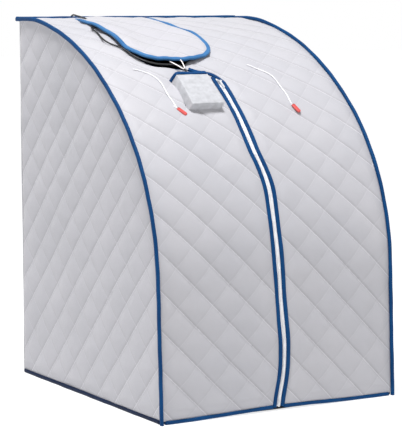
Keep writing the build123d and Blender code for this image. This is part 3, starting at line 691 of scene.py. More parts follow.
# front and roof cloth, in two halves that meet at the zip
cover = {
    "columns": 62,
    "cell": 0.0052,
    "fineCell": 0.0022,        # rows close up round the front of the neck opening
    "fineFrom": 0.0,
    "fineTo": -0.118,
    "outer": halfWidth - 0.0070,
    "rear": 0.0100,
    "waves": ((0.0022, 0.16, 1), (0.0009, 0.05, 2)),
}
neckRight = [
    # inner edge of the right cloth, as (y, x), where the neck opening is
    (-0.130, 0.001), (-0.116, -0.003), (-0.103, -0.011), (-0.092, -0.021),
    (-0.086, -0.038), (-0.079, -0.061), (-0.072, -0.078), (-0.062, -0.082),
    (-0.050, -0.074), (-0.036, -0.056), (-0.020, -0.030), (0.000, -0.002),
    (0.024, 0.014), (0.050, 0.018), (0.100, 0.018), (0.122, 0.010),
    (0.140, 0.001), (0.148, 0.0),
]
neckLeft = [
    # inner edge of the left cloth, from the zip round the front and left of the opening
    (-0.130, -0.026), (-0.114, -0.025), (-0.103, -0.017), (-0.092, -0.025),
    (-0.086, -0.042), (-0.0805, -0.064), (-0.0710, -0.100), (-0.0655, -0.138),
    (-0.0585, -0.163), (-0.0450, -0.186), (-0.0300, -0.198), (-0.010, -0.203),
    (0.050, -0.204), (0.100, -0.203), (0.125, -0.195), (0.142, -0.175),
    (0.1515, -0.145), (0.1535, -0.100), (0.1545, -0.040), (0.156, 0.0),
]


def innerEdge(side, arc):
    y = outlineAt(arc, 0)[0]
    knots = neckRight if side > 0 else neckLeft
    places = [knot[0] for knot in knots]
    opening = np.interp(y, places, [knot[1] for knot in knots])
    beside = zipCentre(arc) + side * (mainZip["edge"] + mainZip["bandWidth"] - 0.004)
    behind = np.zeros_like(opening)
    return np.where(y < places[0], beside, np.where(y > places[-1], behind, opening))


def coverRows():
    fine = np.arange(float(arcAt(cover["fineFrom"])), float(arcAt(cover["fineTo"])), cover["fineCell"])
    rear = np.linspace(cover["rear"], fine[0], round((fine[0] - cover["rear"]) / cover["cell"]))
    front = np.linspace(fine[-1], hemArc, round((hemArc - fine[-1]) / cover["cell"]))
    return np.concatenate([rear[:-1], fine, front[1:]])


coverArcs = coverRows()


def coverRise(side, x, arc):
    inner = innerEdge(side, arc)
    toSeam = np.abs(side * cover["outer"] - x)
    y = outlineAt(arc, 0)[0]
    seamless = (y > neckLeft[-1][0]) & (np.abs(x) < 0.17)      # the two halves meet flat behind the neck
    toInner = np.where(seamless, 1.0, np.abs(x - inner))
    edges = np.minimum(np.minimum(toSeam, toInner), np.minimum(hemArc - arc, arc - cover["rear"]) + 0.002)
    rise = quiltRise(x, arc, "frontRight" if side > 0 else "frontLeft", edges)
    return rise + rumple(np.stack([x, arc, np.zeros_like(x)], -1), cover["waves"])


def coverPlace(side):
    def place(u, v):
        arc = np.interp(v, np.linspace(0, 1, len(coverArcs)), coverArcs)
        inner = innerEdge(side, arc)
        x = inner + (side * cover["outer"] - inner) * u
        return frontPlace(x, arc, coverRise(side, x, arc)), np.stack([x, arc], -1)

    return place


covers = {}
for sideName, side, finishName in (("left", -1, "clothFrontLeft"), ("right", 1, "clothFrontRight")):
    cells = (cover["columns"], len(coverArcs) - 1)
    covers[sideName] = sheetPiece(
        "cover_" + sideName, cells, coverPlace(side), finishes[finishName], quilt["thickness"]
    )
print("front and roof cloth sewn")

# side and rear cloth
sides = {
    "cell": 0.0056,
    "tuck": 0.0085,            # the cloth ends this far inside the outline
    "wrap": 0.012,
    "foot": 0.0085,
    "depth": 0.62,
    "second": 0.5,
    "rightShift": 0.031,       # the right side is cut from another place on the cloth
    "cuts": 45,
    "waves": ((0.0024, 0.19, 5), (0.0009, 0.055, 8)),
}


def insetOf(y, z):
    # how far a point of the side is inside the outline
    high = highR - np.hypot(y - highCentre[0], z - highCentre[1])
    low = lowR - np.hypot(y - lowCentre[0], z - lowCentre[1])
    straight = (y - frontY) * math.cos(lean) - z * math.sin(lean)
    angle = np.arctan2(z - lowCentre[1], lowCentre[0] - y)
    onLow = (angle < knee) & (angle > lean)
    return np.where(y > crownY, topZ - z, np.where(angle >= knee, high, np.where(onLow, low, straight)))


def trimmedSide():
    farY = sideHigh.y + sides["wrap"] * (math.pi / 2 - 1)
    columns = round((farY - frontY) / sides["cell"])
    rows = round(topZ / sides["cell"])
    mesh, u, v = gridOf(columns, rows)
    foot = sides["foot"]
    placeVerts(mesh, np.stack([frontY + (farY - frontY) * u, foot + (topZ - foot) * v, 0 * u], -1))
    marks = np.linspace(0.0, wholeArc, sides["cuts"] + 1)
    for first, second in zip(marks, marks[1:]):
        startY, startZ = outlineAt(first, -sides["tuck"])[:2]
        endY, endZ = outlineAt(second, -sides["tuck"])[:2]
        facing = Vector((-(endZ - startZ), endY - startY, 0)).normalized()
        if facing.dot(Vector((-1, 1, 0))) < 0:
            facing = -facing
        bmesh.ops.bisect_plane(
            mesh,
            geom=mesh.verts[:] + mesh.edges[:] + mesh.faces[:],
            dist=1e-5,
            plane_co=(float(startY), float(startZ), 0),
            plane_no=facing,
            clear_outer=True,
        )
    return mesh


def sidePiece(name, side):
    mesh = trimmedSide()
    flat = np.array([vert.co for vert in mesh.verts])
    y, z = flat[:, 0], flat[:, 1]
    along = topZ - z
    wrapFrom = sideHigh.y - sides["wrap"]
    turn = np.clip((y - wrapFrom) / sides["wrap"], 0, math.pi / 2)
    edges = np.minimum(insetOf(np.minimum(y, wrapFrom), z) - sides["tuck"], z - sides["foot"] + 0.002)
    edges = np.minimum(edges, np.maximum(wrapFrom + sides["wrap"] - y, 0.004))
    across = y if side < 0 else -y + sides["rightShift"]
    rise = quiltRise(across, along, "side", edges, sides["depth"], sides["second"])
    rise += rumple(flat, sides["waves"], side)
    radius = sides["wrap"] + rise
    x = halfWidth + faceInset - sides["wrap"] + radius * np.cos(turn)
    newY = np.where(turn > 0, wrapFrom + radius * np.sin(turn), y)
    placeVerts(mesh, np.stack([side * x, newY, z], -1), np.stack([across, along], -1))
    return sewn(name, mesh, finishes["clothSide"], quilt["thickness"])


sideSheets = {}
for sideName, side in (("left", -1), ("right", 1)):
    sideSheets[sideName] = sidePiece("side_" + sideName, side)
    ride(sideSheets[sideName], "cabin", "quilted_cloth", sideName + "_side_panel")
print("side cloth sewn")

portLow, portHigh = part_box("steam_port_flange")
port = {
    "x": (portLow.x + portHigh.x) / 2,
    "z": (portLow.z + portHigh.z) / 2,
    "hole": 0.0255,
    "drawn": 0.060,            # the rear cloth's rows close in on the hole from here
    "flat": 0.036,
}
rearLow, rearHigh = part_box("rear_panel")
rear = {"past": 0.0045, "above": 0.006, "waves": ((0.0024, 0.18, 12), (0.0009, 0.05, 14))}


def rearPiece():
    half, top, foot = rearHigh.x + rear["past"], rearHigh.z + rear["above"], sides["foot"]
    mesh, u, v = gridOf(round(2 * half / sides["cell"]), round((rearHigh.z - foot) / sides["cell"]))
    x, z = -half + 2 * half * u, foot + (top - foot) * v
    offX, offZ = x - port["x"], z - port["z"]
    far = np.hypot(offX, offZ)
    closer = (port["hole"] + (port["drawn"] - port["hole"]) * far / port["drawn"]) / np.maximum(far, 1e-6)
    pull = np.where(far < port["drawn"], closer, 1)
    x, z = port["x"] + offX * pull, port["z"] + offZ * pull
    edges = np.minimum(np.minimum(half - np.abs(x), z - foot + 0.002), top - z)
    edges = np.minimum(edges, np.clip(np.hypot(x - port["x"], z - port["z"]) - port["flat"], 0, 1))
    across, along = -x, topZ - z
    rise = quiltRise(across, along, "rear", edges)
    rise += rumple(np.stack([x, z, 0 * x], -1), rear["waves"])
    placeVerts(mesh, np.stack([x, rearHigh.y + rise, z], -1), np.stack([across, along], -1))
    portMiddle = Vector((port["x"], port["z"]))
    middle = [
        face
        for face in mesh.faces
        if (face.calc_center_median().xz - portMiddle).length < port["hole"] * 0.97
    ]
    bmesh.ops.delete(mesh, geom=middle, context="FACES")
    return sewn("rear_cover", mesh, finishes["clothRear"], quilt["thickness"])


rearSheet = rearPiece()
ride(rearSheet, "cabin", "quilted_cloth", "rear_panel")
print("rear cloth sewn")

# bindings along the edges
binding = {
    "archBand": (0.0084, 0.0108, 0.0036),       # width, height and corner of each section
    "rearBand": (0.0105, 0.0112, 0.0040),
    "hemBand": (0.0115, 0.0100, 0.0028),
    "step": 0.006,
    "wobble": 0.0009,
    "crest": 0.0005,
    "archIn": 0.0046,
    "shoulder": 0.0080,        # the arch bindings stand up a little near the rear
    "shoulderAt": 0.12,
    "shoulderSpread": 0.08,
    "hemIn": 0.0055,
    "hemCorner": 0.012,
    "hemHeight": 0.0052,
    "rearIn": 0.0060,
    "rearDown": (0.0042, 0.0036),
}


def wave(along, seed):
    return binding["wobble"] * (np.sin(along * 37 + seed * 2.1) + 0.6 * np.sin(along * 83 + seed * 1.3)) / 1.6


def archBinding(name, side):
    stations = np.arange(0.0, wholeArc, binding["step"]).tolist() + [wholeArc - 0.0006]
    middle = side * (halfWidth - binding["archIn"])

    def place(across, height, along, index):
        near = (along - binding["shoulderAt"]) / binding["shoulderSpread"]
        shift = wave(along, side) + binding["shoulder"] * np.exp(-(near**2))
        y, z = outlineAt(along, height - binding["archBand"][1] / 2 - binding["crest"] + 0.4 * shift)[:2]
        return np.stack([middle + across + 0.5 * wave(along, side + 5), y, np.maximum(z, 0.0004)], -1)

    return sweepPiece(name, roundedSection(*binding["archBand"]), stations, place, finishes["tapeBlue"])


for sideName, side in (("left", -1), ("right", 1)):
    ride(archBinding("arch_tape_" + sideName, side), "cabin", "blue_binding", sideName + "_arch_binding")


def rearBinding():
    reach, y = halfWidth - 0.0015, rearY - binding["rearIn"]
    start = np.array([-reach, y, topZ - binding["rearDown"][0]])
    run = np.array([reach, y, topZ - binding["rearDown"][1]]) - start
    length = np.linalg.norm(run)

    def place(across, height, along, index):
        points = start + np.outer(along / length, run)
        points[:, 1] -= across + wave(along, 3)
        points[:, 2] += height + 0.5 * wave(along, 7)
        return points

    stations = np.linspace(0, length, round(length / 0.007)).tolist()
    return sweepPiece(
        "rear_edge_tape", roundedSection(*binding["rearBand"]), stations, place, finishes["tapeBlue"]
    )


ride(rearBinding(), "cabin", "blue_binding", "rear_top_binding")

# hem round the left side, the back and the right side
hemLow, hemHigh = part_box("base_hem")


def baseHem():
    inset, corner = binding["hemIn"], binding["hemCorner"]
    left, right, back = hemLow.x + inset, hemHigh.x - inset, hemHigh.y - inset
    route = [Vector((left, hemLow.y + 0.002, 0)), Vector((left, back - corner, 0))]
    for step in range(1, 6):
        angle = math.radians(180 - 15 * step)
        turned = Vector((math.cos(angle), math.sin(angle), 0))
        route.append(Vector((left + corner, back - corner, 0)) + corner * turned)
    route.append(Vector((left + corner, back, 0)))
    mirrored = [Vector((-point.x, point.y, 0)) for point in reversed(route)]
    fullRoute = []
    for first, second in zip(route + mirrored, (route + mirrored)[1:]):
        pieces = max(1, round((second - first).length / 0.012))
        fullRoute += [first.lerp(second, step / pieces) for step in range(pieces)]
    fullRoute.append(mirrored[-1])
    spots = np.array([point[:2] for point in fullRoute])
    lengths, aside = alongLine(spots)

    def place(across, height, along, index):
        flat = spots[index] + aside[index] * (across + wave(along, 7))[:, None]
        return np.stack([flat[:, 0], flat[:, 1], height + binding["hemHeight"]], -1)

    # the hem's tape uses the darker copy of the blue binding: painted shade
    return sweepPiece(
        "base_hem_tape", roundedSection(*binding["hemBand"]), lengths.tolist(), place, finishes["tapeBluePaintedShade"]
    )


ride(baseHem(), "cabin", "blue_binding", "base_hem")
print("edges bound")

# front zip
zipHead = [
    # the right band's top turns left along the front of the neck opening, as (x, y)
    (-0.076, -0.0695), (-0.063, -0.0775), (-0.050, -0.0825), (-0.036, -0.0865),
    (-0.021, -0.0925), (-0.011, -0.1030), (-0.003, -0.1165),
]


def lineBand(name, line, section, lift, material):
    # a band along a line of (x, arc) on the front and roof
    lengths, aside = alongLine(line)
    rises = np.broadcast_to(lift, len(line))

    def place(across, height, along, index):
        flat = line[index] + aside[index] * (across + 0.5 * wave(along, 9))[:, None]
        return frontPlace(flat[:, 0], flat[:, 1], height + rises[index] + 0.3 * wave(along, 11))

    return sweepPiece(name, section, lengths.tolist(), place, material)


def zipBand(name, side):
    arcs = np.arange(zipTopArc + mainZip["bandTops"][side], hemArc + 0.0065, binding["step"])
    line = np.stack([zipCentre(arcs) + side * (mainZip["edge"] + mainZip["bandWidth"] / 2), arcs], -1)
    if side > 0:
        head = np.array(zipHead)
        start = np.stack([head[:, 0], arcAt(head[:, 1])], -1)
        line = np.concatenate([smoothLine(np.concatenate([start, line[:2]]), 36)[:-1], line[1:]])
    section = roundedSection(mainZip["bandWidth"], *mainZip["band"])
    return lineBand(name, line, section, mainZip["bandSink"], finishes["tapeBlue"])


def zipTape(name, side):
    stations = np.arange(zipTopArc - 0.007, hemArc + 0.005, 0.008).tolist()

    def place(across, height, along, index):
        x = zipCentre(along) + side * 0.0033 + across
        return frontPlace(x, along, height + mainZip["tapeSink"])

    return sweepPiece(name, roundedSection(*mainZip["tape"], steps=2), stations, place, finishes["zipTape"])


def zipTeeth(name, side):
    mesh = bmesh.new()
    made = bmesh.ops.create_cube(mesh, size=1.0)
    bmesh.ops.scale(mesh, vec=mainZip["tooth"], verts=made["verts"])
    bmesh.ops.bevel(
        mesh, geom=mesh.edges[:], offset=0.0004, affect="EDGES", segments=1, profile=0.5, material=-1
    )
    first = mesh.verts[:] + mesh.edges[:] + mesh.faces[:]
    arcs = np.arange(zipTopArc - 0.003, hemArc + 0.003, mainZip["toothPitch"])
    if side > 0:
        arcs = arcs + mainZip["toothPitch"] / 2
    centres = frontPlace(zipCentre(arcs) + side * 0.0013, arcs, mainZip["toothSink"] + 0 * arcs)
    tilts = outlineAt(arcs, 0)[2]
    for centre, tilt in zip(centres, tilts):
        copy = bmesh.ops.duplicate(mesh, geom=first)
        verts = [item for item in copy["geom"] if isinstance(item, bmesh.types.BMVert)]
        spot = Matrix.Translation(centre) @ Matrix.Rotation(float(tilt), 4, "X")
        bmesh.ops.transform(mesh, matrix=spot, verts=verts)
    pattern = [item for item in first if isinstance(item, bmesh.types.BMVert)]
    bmesh.ops.delete(mesh, geom=pattern, context="VERTS")
    return pieceOf(name, mesh, finishes["zipTeeth"], smooth=False)


frontHem = {"band": (0.0095, 0.0120, 0.0028), "low": 0.0035, "sink": -0.0045, "outer": 0.017}


def hemBand(name, side):
    start, stop = mainZip["edge"] + mainZip["bandWidth"], halfWidth - frontHem["outer"]

    def place(across, height, along, index):
        share = (along - start) / (stop - start)
        x = side * along + zipCentre(hemArc) * (1 - share)
        arc = hemArc + frontHem["low"] - across + 0.3 * wave(along, 6 + side)
        return frontPlace(x, arc, height + frontHem["sink"])

    stations = np.linspace(start, stop, 46).tolist()
    return sweepPiece(name, roundedSection(*frontHem["band"]), stations, place, finishes["tapeBlue"])


for sideName, side in (("left", -1), ("right", 1)):
    door = sideName + "_door"
    hang(zipBand("zip_band_" + sideName, side), door, "blue_binding", door + "_zip_binding")
    hang(zipTape("zip_tape_" + sideName, side), door, "zip_tape", door + "_zip_tape")
    hang(zipTeeth("zip_teeth_" + sideName, side), door, "zip_tape")
    hang(hemBand("front_hem_tape_" + sideName, side), door, "blue_binding", door + "_hem")
    hang(covers[sideName], door, "quilted_cloth", door + "_panel")
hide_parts("roof_panel")
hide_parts("upper_zip_bindings")
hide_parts("upper_zip_tape")
print("front zip set")


def copyNode(name, node, matrix, material):
    # a merged copy of a frame node, moved by a matrix
    mesh = bmesh.new()
    mesh.from_mesh(nodes[node].data)
    bmesh.ops.remove_doubles(mesh, verts=mesh.verts[:], dist=1e-6)
    bmesh.ops.transform(mesh, matrix=matrix, verts=mesh.verts[:])
    bmesh.ops.recalc_face_normals(mesh, faces=mesh.faces[:])
    return pieceOf(name, mesh, material, smooth=False)


# the slider and its pull sit on the zip's own line, a little below its top
sliderLow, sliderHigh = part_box("main_zip_slider")
sliderArc = float(arcAt((sliderLow.y + sliderHigh.y) / 2))
sliderTurn = (zipTopArc + mainZip["sliderDown"] - sliderArc) / highR
hub = Matrix.Translation((0, highCentre[0], highCentre[1]))
alongZip = (
    Matrix.Translation((float(zipCentre(zipTopArc)), 0, 0))
    @ hub
    @ Matrix.Rotation(sliderTurn, 4, "X")
    @ hub.inverted()
)
for name, node in (("zip_slider", "main_zip_slider"), ("zip_pull", "main_zip_pull")):
    ride(copyNode(name, node, alongZip, finishes["zipMetal"]), node, "zip_metal", node)

# neck opening
neck = {"band": (0.011, 0.0125, 0.0034), "sink": -0.0125, "points": 150}


def surfaceBand(name, route, section, lift, material, count):
    # a band laid along a plan route of (x, y) on the front and roof
    spots = smoothLine(route, count)
    rises = lift(spots) if callable(lift) else lift
    return lineBand(name, np.stack([spots[:, 0], arcAt(spots[:, 1])], -1), section, rises, material)


neckRoute = [
    (-0.078, -0.072), (-0.094, -0.068), (-0.120, -0.063), (-0.150, -0.057),
    (-0.176, -0.045), (-0.192, -0.028), (-0.199, -0.006), (-0.200, 0.040),
    (-0.200, 0.090), (-0.196, 0.116), (-0.180, 0.138), (-0.154, 0.150),
    (-0.110, 0.152), (-0.060, 0.152), (-0.028, 0.148), (-0.004, 0.136),
    (0.012, 0.112), (0.015, 0.080), (0.014, 0.036), (0.006, 0.010),
    (-0.020, -0.010), (-0.048, -0.030), (-0.068, -0.045), (-0.078, -0.060),
]
neckSection = roundedSection(*neck["band"])
# the neck band uses the darker copy of the blue binding: painted shade
neckBand = surfaceBand(
    "neck_band", neckRoute, neckSection, neck["sink"], finishes["tapeBluePaintedShade"], neck["points"]
)
ride(neckBand, "cabin", "blue_binding", "neck_opening_binding")

# neck flap, sewn down along the rear edge
flap = {
    "thickness": 0.0038,
    "rest": 0.0030,
    "frontLift": 0.010,
    "seamSink": 0.003,
    "band": (0.0125, 0.0078, 0.0036),
    "depth": 0.75,
    "waves": ((0.0030, 0.09, 21),),
    "cells": (64, 104),
    "marks": 200,
    "points": 210,
    "width": 0.27,
    "over": 0.0016,            # its stitched lines stand this far over the cloth below
}
flapLeft = [
    (-0.165, 0.3885), (-0.190, 0.345), (-0.213, 0.295), (-0.224, 0.250),
    (-0.229, 0.205), (-0.229, 0.165), (-0.224, 0.125), (-0.219, 0.085),
    (-0.219, 0.045), (-0.218, 0.012), (-0.209, -0.010), (-0.195, -0.026),
]
flapFront = [
    (-0.195, -0.026), (-0.172, -0.038), (-0.146, -0.044), (-0.118, -0.047),
    (-0.088, -0.047), (-0.057, -0.043), (-0.021, -0.033), (0.006, -0.018),
]
flapRight = [
    (0.006, -0.018), (0.024, 0.002), (0.034, 0.024), (0.039, 0.052),
    (0.040, 0.084), (0.036, 0.114), (0.022, 0.144), (0.009, 0.178),
    (0.003, 0.220), (0.006, 0.270), (0.020, 0.320), (0.044, 0.362),
    (0.060, 0.3885),
]


def flapLift(x, y):
    # the front and the left edge stand off the roof, the right edge lies closer
    front = smoothStep((0.10 - y) / 0.15) * smoothStep((0.04 - x) / 0.12)
    left = smoothStep((-0.12 - x) / 0.09) * smoothStep((0.29 - y) / 0.14)
    dip = 0.006 * np.exp(-(((x + 0.10) / 0.07) ** 2) - ((y - 0.06) / 0.09) ** 2)
    seam = smoothStep((y - 0.22) / 0.11)
    lift = flap["rest"] + flap["frontLift"] * np.maximum(front, 0.85 * left) - dip
    return lift * (1 - seam) - flap["seamSink"] * seam


def coonsPlan(u, v):
    # the flap's plan between its left, front, right and rear edges
    left, right, front = (smoothLine(line, flap["marks"]) for line in (flapLeft, flapRight[::-1], flapFront))
    back = np.linspace(left[0], right[0], flap["marks"])
    marks = np.linspace(0, 1, flap["marks"])

    def on(line, share):
        return np.stack([np.interp(share, marks, line[:, axis]) for axis in (0, 1)], -1)

    sideBlend = on(left, v) * (1 - u)[:, None] + on(right, v) * u[:, None]
    endBlend = on(back, u) * (1 - v)[:, None] + on(front, u) * v[:, None]
    corners = (
        left[0] * ((1 - u) * (1 - v))[:, None]
        + right[0] * (u * (1 - v))[:, None]
        + left[-1] * ((1 - u) * v)[:, None]
        + right[-1] * (u * v)[:, None]
    )
    return sideBlend + endBlend - corners


def flapPlace(u, v):
    plan = coonsPlan(u, v)
    x, y = plan[:, 0], plan[:, 1]
    arc = arcAt(y)
    edges = flap["width"] * np.minimum(np.minimum(u, 1 - u), np.minimum(1 - v, v + 0.02) * 1.6)
    rise = flap["depth"] * quiltRise(x, arc, "flap", edges) + flap["over"]
    uneven = rumple(np.stack([x, y, 0 * x], -1), flap["waves"])
    rise += uneven * smoothStep(edges / 0.05) + flapLift(x, y)
    return frontPlace(x, arc, rise + flap["thickness"]), np.stack([x, arc], -1)


flapSheet = sheetPiece("flap_cloth", flap["cells"], flapPlace, finishes["clothFlap"], flap["thickness"])
flapRoute = flapLeft + flapFront[1:] + flapRight[1:]


def flapBandLift(spots):
    wobble = 0.0010 * np.sin(61 * (spots[:, 0] - spots[:, 1])) + 0.0007 * np.sin(173 * spots[:, 0])
    return flapLift(spots[:, 0], spots[:, 1]) + 0.5 * flap["thickness"] + wobble


flapSection = roundedSection(*flap["band"])
# the flap's edge tape uses the lighter copy of the blue binding: painted light
flapBand = surfaceBand(
    "flap_edge_tape", flapRoute, flapSection, flapBandLift, finishes["flapTapePaintedLight"], flap["points"]
)
for piece, slot, node in (
    (flapSheet, "quilted_cloth", "neck_flap"),
    (flapBand, "blue_binding", "neck_flap_binding"),
):
    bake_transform(piece)
    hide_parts(node)
print("neck and flap done")

# control pocket
pocket = {
    "x": -0.1035,
    "arc": 0.602,
    "width": 0.096,
    "length": 0.116,
    "depth": 0.0262,
    "thickness": 0.0012,
    "flatAcross": 0.62,        # shares of the cloth that lie flat on top
    "flatDown": 0.76,
    "foot": 0.0040,            # the left wall's foot is wider than its top
    "lean": 0.0030,
    "mouthIn": 0.0035,
    "sunk": 0.001,             # its edge goes this far into the cloth below
    "cells": (72, 60),
    "creases": ((0.0012, 0.022, 31), (0.0003, 0.009, 33)),
    "rim": (0.0095, 0.0040, 0.0016),
}


def trayProfile(share, flatShare):
    # from a wall's foot, up it and over a tight edge to the flat: position across, height
    wall = 1 - flatShare
    climb = np.clip(share / wall, 0, 1)
    height = np.sin(np.clip(climb * 1.15, 0, 1) * math.pi / 2) ** 0.8
    across = np.where(share < wall, 0.05 * climb**3, 0.05 + 0.95 * (share - wall) / flatShare)
    return across, height


def pocketLean(x, down, wall):
    # the left wall leans in from a wider foot, more at the mouth
    left = smoothStep(0.5 - x / 0.06) * (0.7 - 0.3 * down / 0.058)
    return left * (pocket["foot"] * (1 - wall) - pocket["lean"] * wall)


def pocketPlace(u, v):
    fromSide = 1 - np.abs(2 * u - 1)
    acrossShare, sideHeight = trayProfile(fromSide, pocket["flatAcross"])
    footShare, footHeight = trayProfile(v, pocket["flatDown"])
    x = np.sign(u - 0.5) * (1 - acrossShare) * pocket["width"] / 2
    down = pocket["length"] / 2 - footShare * pocket["length"] * 0.97
    height = pocket["depth"] * sideHeight * footHeight
    wall = sideHeight * footHeight
    crease = rumple(np.stack([x, down, 0 * x], -1), pocket["creases"])
    x = x + np.sign(x) * crease * 1.6 * (1 - wall) * smoothStep(wall * 3)
    x = x - pocketLean(x, down, wall)
    height += 0.6 * crease * smoothStep(wall)
    points = frontPlace(pocket["x"] + x, pocket["arc"] + down, height - pocket["sunk"])
    return points, np.stack([x, down], -1)


pocketSheet = sheetPiece(
    "pocket_shell", pocket["cells"], pocketPlace, finishes["pocketCloth"], pocket["thickness"]
)
ride(pocketSheet, "cabin", "quilted_cloth", "control_pocket")


def pocketRim():
    mouth = pocket["arc"] - pocket["length"] / 2 + pocket["mouthIn"]
    half, depth, corner = pocket["width"] / 2, pocket["depth"], 0.006
    rise = [(-half, -pocket["sunk"]), (-half, depth * 0.5), (-half + 0.0005, depth - corner)]
    rise += [(-half + 0.002, depth - 0.002), (-half + corner, depth)]
    top = [(x, depth - 0.0009 * math.cos(60 * x)) for x in np.linspace(-half + 0.016, half - 0.016, 9)]
    spots = smoothLine(rise + top + [(-x, height) for x, height in reversed(rise)], 70)
    lengths, aside = alongLine(spots)

    def place(across, height, along, index):
        flat = spots[index] + aside[index] * height[:, None]
        down = mouth - pocket["arc"] + across
        x = flat[:, 0] - pocketLean(flat[:, 0], down, np.clip(flat[:, 1] / depth, 0, 1))
        return frontPlace(pocket["x"] + x, mouth + across, flat[:, 1])

    section = roundedSection(*pocket["rim"])
    return sweepPiece("pocket_rim_tape", section, lengths.tolist(), place, finishes["tapeBlue"])


ride(pocketRim(), "cabin", "blue_binding", "pocket_rim_binding")
print("pocket done")

# arm hole zips
armZips = {
    "left": {
        "route": [
            (-0.243, -0.073), (-0.226, -0.078), (-0.207, -0.087), (-0.194, -0.107),
            (-0.189, -0.130), (-0.188, -0.154), (-0.187, -0.178), (-0.187, -0.197),
        ],
        "yaw": 36.0,
    },
    "right": {
        "route": [
            (0.102, -0.067), (0.119, -0.078), (0.139, -0.094), (0.153, -0.112),
            (0.160, -0.137), (0.160, -0.162), (0.160, -0.185), (0.160, -0.197),
        ],
        "yaw": 20.0,
    },
}
armPull = {"wider": 1.30, "thicker": 1.15, "lift": 0.0006}
armStrip = {"lift": 0.0012, "evened": 12, "points": 170}        # evened over this many points each way


def armZipSection():
    # a flat tape with a raised round coil along its middle
    half, coilHalf, tapeTop, coilTop = 0.0019, 0.0010, 0.0006, 0.0016
    right = [(half, 0.0), (half, tapeTop), (coilHalf, tapeTop), (coilHalf * 0.8, coilTop * 0.85)]
    return right + [(0.0, coilTop)] + [(-across, height) for across, height in reversed(right)]


for sideName, facts in armZips.items():
    side = -1 if sideName == "left" else 1

    def stripLift(spots):
        rise = coverRise(side, spots[:, 0], arcAt(spots[:, 1]))
        padded = np.pad(rise, armStrip["evened"], mode="edge")
        window = 2 * armStrip["evened"] + 1
        return np.convolve(padded, np.ones(window) / window, "valid") + armStrip["lift"]

    strip = surfaceBand(
        "arm_zip_strip_" + sideName,
        facts["route"],
        armZipSection(),
        stripLift,
        finishes["armZipTape"],
        armStrip["points"],
    )
    ride(strip, "cabin", "zip_tape", "arm_zip_" + sideName)
    pullNode, sliderNode = "arm_pull_" + sideName, "arm_slider_" + sideName
    low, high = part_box(sliderNode)
    pin = (low + high) / 2
    tilt = float(outlineAt(arcAt(pin.y), 0)[2])
    normal = Vector((0, -math.sin(tilt), math.cos(tilt)))
    yaw = Matrix.Rotation(math.radians(facts["yaw"]), 4, normal)
    yaw = Matrix.Translation(pin) @ yaw @ Matrix.Translation(-pin)
    fuller = (
        Matrix.Translation(pin + armPull["lift"] * normal)
        @ Matrix.Scale(armPull["wider"], 4, Vector((1, 0, 0)))
        @ Matrix.Scale(armPull["thicker"], 4, normal)
        @ Matrix.Translation(-pin)
    )
    pull = copyNode(pullNode + "_rubber", pullNode, yaw @ fuller, finishes["pullRed"])
    ride(pull, pullNode, "red_pull", pullNode)
    slider = copyNode(sliderNode + "_metal", sliderNode, yaw, finishes["zipMetal"])
    ride(slider, sliderNode, "zip_metal", sliderNode)
print("arm zips done")

# floor mat
matLow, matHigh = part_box("floor_mat")
mat = {
    "cells": (60, 70),
    "thickness": 0.0018,
    "sink": 0.0012,
    "waves": ((0.0008, 0.09, 41), (0.0004, 0.03, 43)),
}


def matPlace(u, v):
    x = matLow.x + (matHigh.x - matLow.x) * u
    y = matLow.y + (matHigh.y - matLow.y) * v
    rise = rumple(np.stack([x, y, 0 * x], -1), mat["waves"])
    return np.stack([x, y, matHigh.z - mat["sink"] + rise], -1), np.stack([x, y], -1)


under = Vector((0, 0, -1))
matSheet = sheetPiece("floor_mat_cloth", mat["cells"], matPlace, finishes["lining"], mat["thickness"], under)
ride(matSheet, "cabin", "floor_cloth", "floor_mat")
print("floor mat laid")

# the lead's plug and gland keep their frame shapes
ride(leadCord, "cabin", "lead_black", "lead_tube", "lead_coil")
ride(stringCord, "cabin", "white_cord", "neck_drawstring")

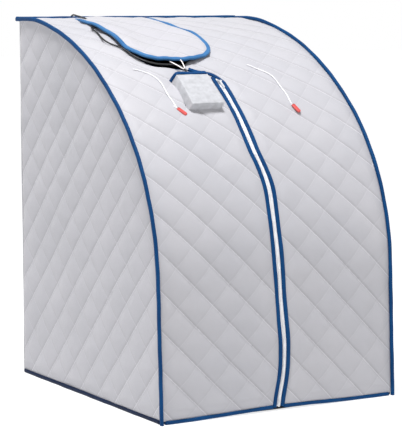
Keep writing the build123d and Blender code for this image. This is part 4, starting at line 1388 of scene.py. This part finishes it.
nodeFinishes = {
    "arch_ferrules": "ferruleSteel",
    "base_corner_connectors": "hubPlastic",
    "top_corner_connectors": "hubPlastic",
    "button_heat": "buttonRubber",
    "button_power": "buttonRubber",
    "button_timer": "buttonRubber",
    "controller_back_shell": "casePlastic",
    "controller_front_shell": "casePlastic",
    "controller_board": "board",
    "controller_display": "display",
    "lead_gland": "leadRubber",
    "lead_plug": "leadRubber",
    "steam_port_flange": "portPlastic",
    "steam_port_nut": "portPlastic",
}
for name in nodes:
    if name.endswith(("_pole", "_post", "_rail")):
        nodeFinishes[name] = "poleSteel"
for name, finishName in nodeFinishes.items():
    for holder in nodes[name].material_slots:
        holder.material = finishes[finishName]
print("frame finished")

# floor and light
studio = {
    "floor": tint(168, 168, 168),
    "sky": 1.0,
    "dimFrom": 0.35,           # the sky is white low down and greyer overhead
    "dimTo": 0.60,
    "dim": 0.38,
    "glow": 0.78,
    "key": {"place": (-0.75, -0.75, 4.2), "aim": (0, 0, 0.5), "size": 0.8, "power": 185.0},
}


def addStudio():
    mesh = bmesh.new()
    bmesh.ops.create_grid(mesh, x_segments=2, y_segments=2, size=30.0)
    floor = pieceOf("studio_floor", mesh, bpy.data.materials.new("studio_floor"))
    floor.location.z = -0.0005
    material = floor.data.materials[0]
    material.use_nodes = True
    shader = material.node_tree.nodes["Principled BSDF"]
    shader.inputs["Base Color"].default_value = studio["floor"]
    shader.inputs["Roughness"].default_value = 0.9
    shader.inputs["Emission Color"].default_value = (1.0, 1.0, 1.0, 1.0)
    shader.inputs["Emission Strength"].default_value = studio["glow"]
    world = bpy.data.worlds.new("studio_sky")
    world.use_nodes = True
    tree = world.node_tree
    background = tree.nodes["Background"]
    background.inputs["Strength"].default_value = studio["sky"]
    heading = tree.nodes.new("ShaderNodeTexCoord")
    split = tree.nodes.new("ShaderNodeSeparateXYZ")
    ramp = tree.nodes.new("ShaderNodeValToRGB")
    low, high = ramp.color_ramp.elements
    low.position, high.position = studio["dimFrom"], studio["dimTo"]
    low.color, high.color = (1.0, 1.0, 1.0, 1.0), (*[studio["dim"]] * 3, 1.0)
    tree.links.new(heading.outputs["Generated"], split.inputs[0])
    tree.links.new(split.outputs["Z"], ramp.inputs["Fac"])
    tree.links.new(ramp.outputs["Color"], background.inputs["Color"])
    scene.world = world
    key = studio["key"]
    lamp = bpy.data.lights.new("key", "AREA")
    lamp.size = key["size"]
    lamp.energy = key["power"]
    holder = bpy.data.objects.new("key", lamp)
    holder.location = key["place"]
    holder.rotation_euler = (Vector(key["aim"]) - Vector(key["place"])).to_track_quat("-Z", "Y").to_euler()
    scene.collection.objects.link(holder)


addStudio()
print("studio lit")
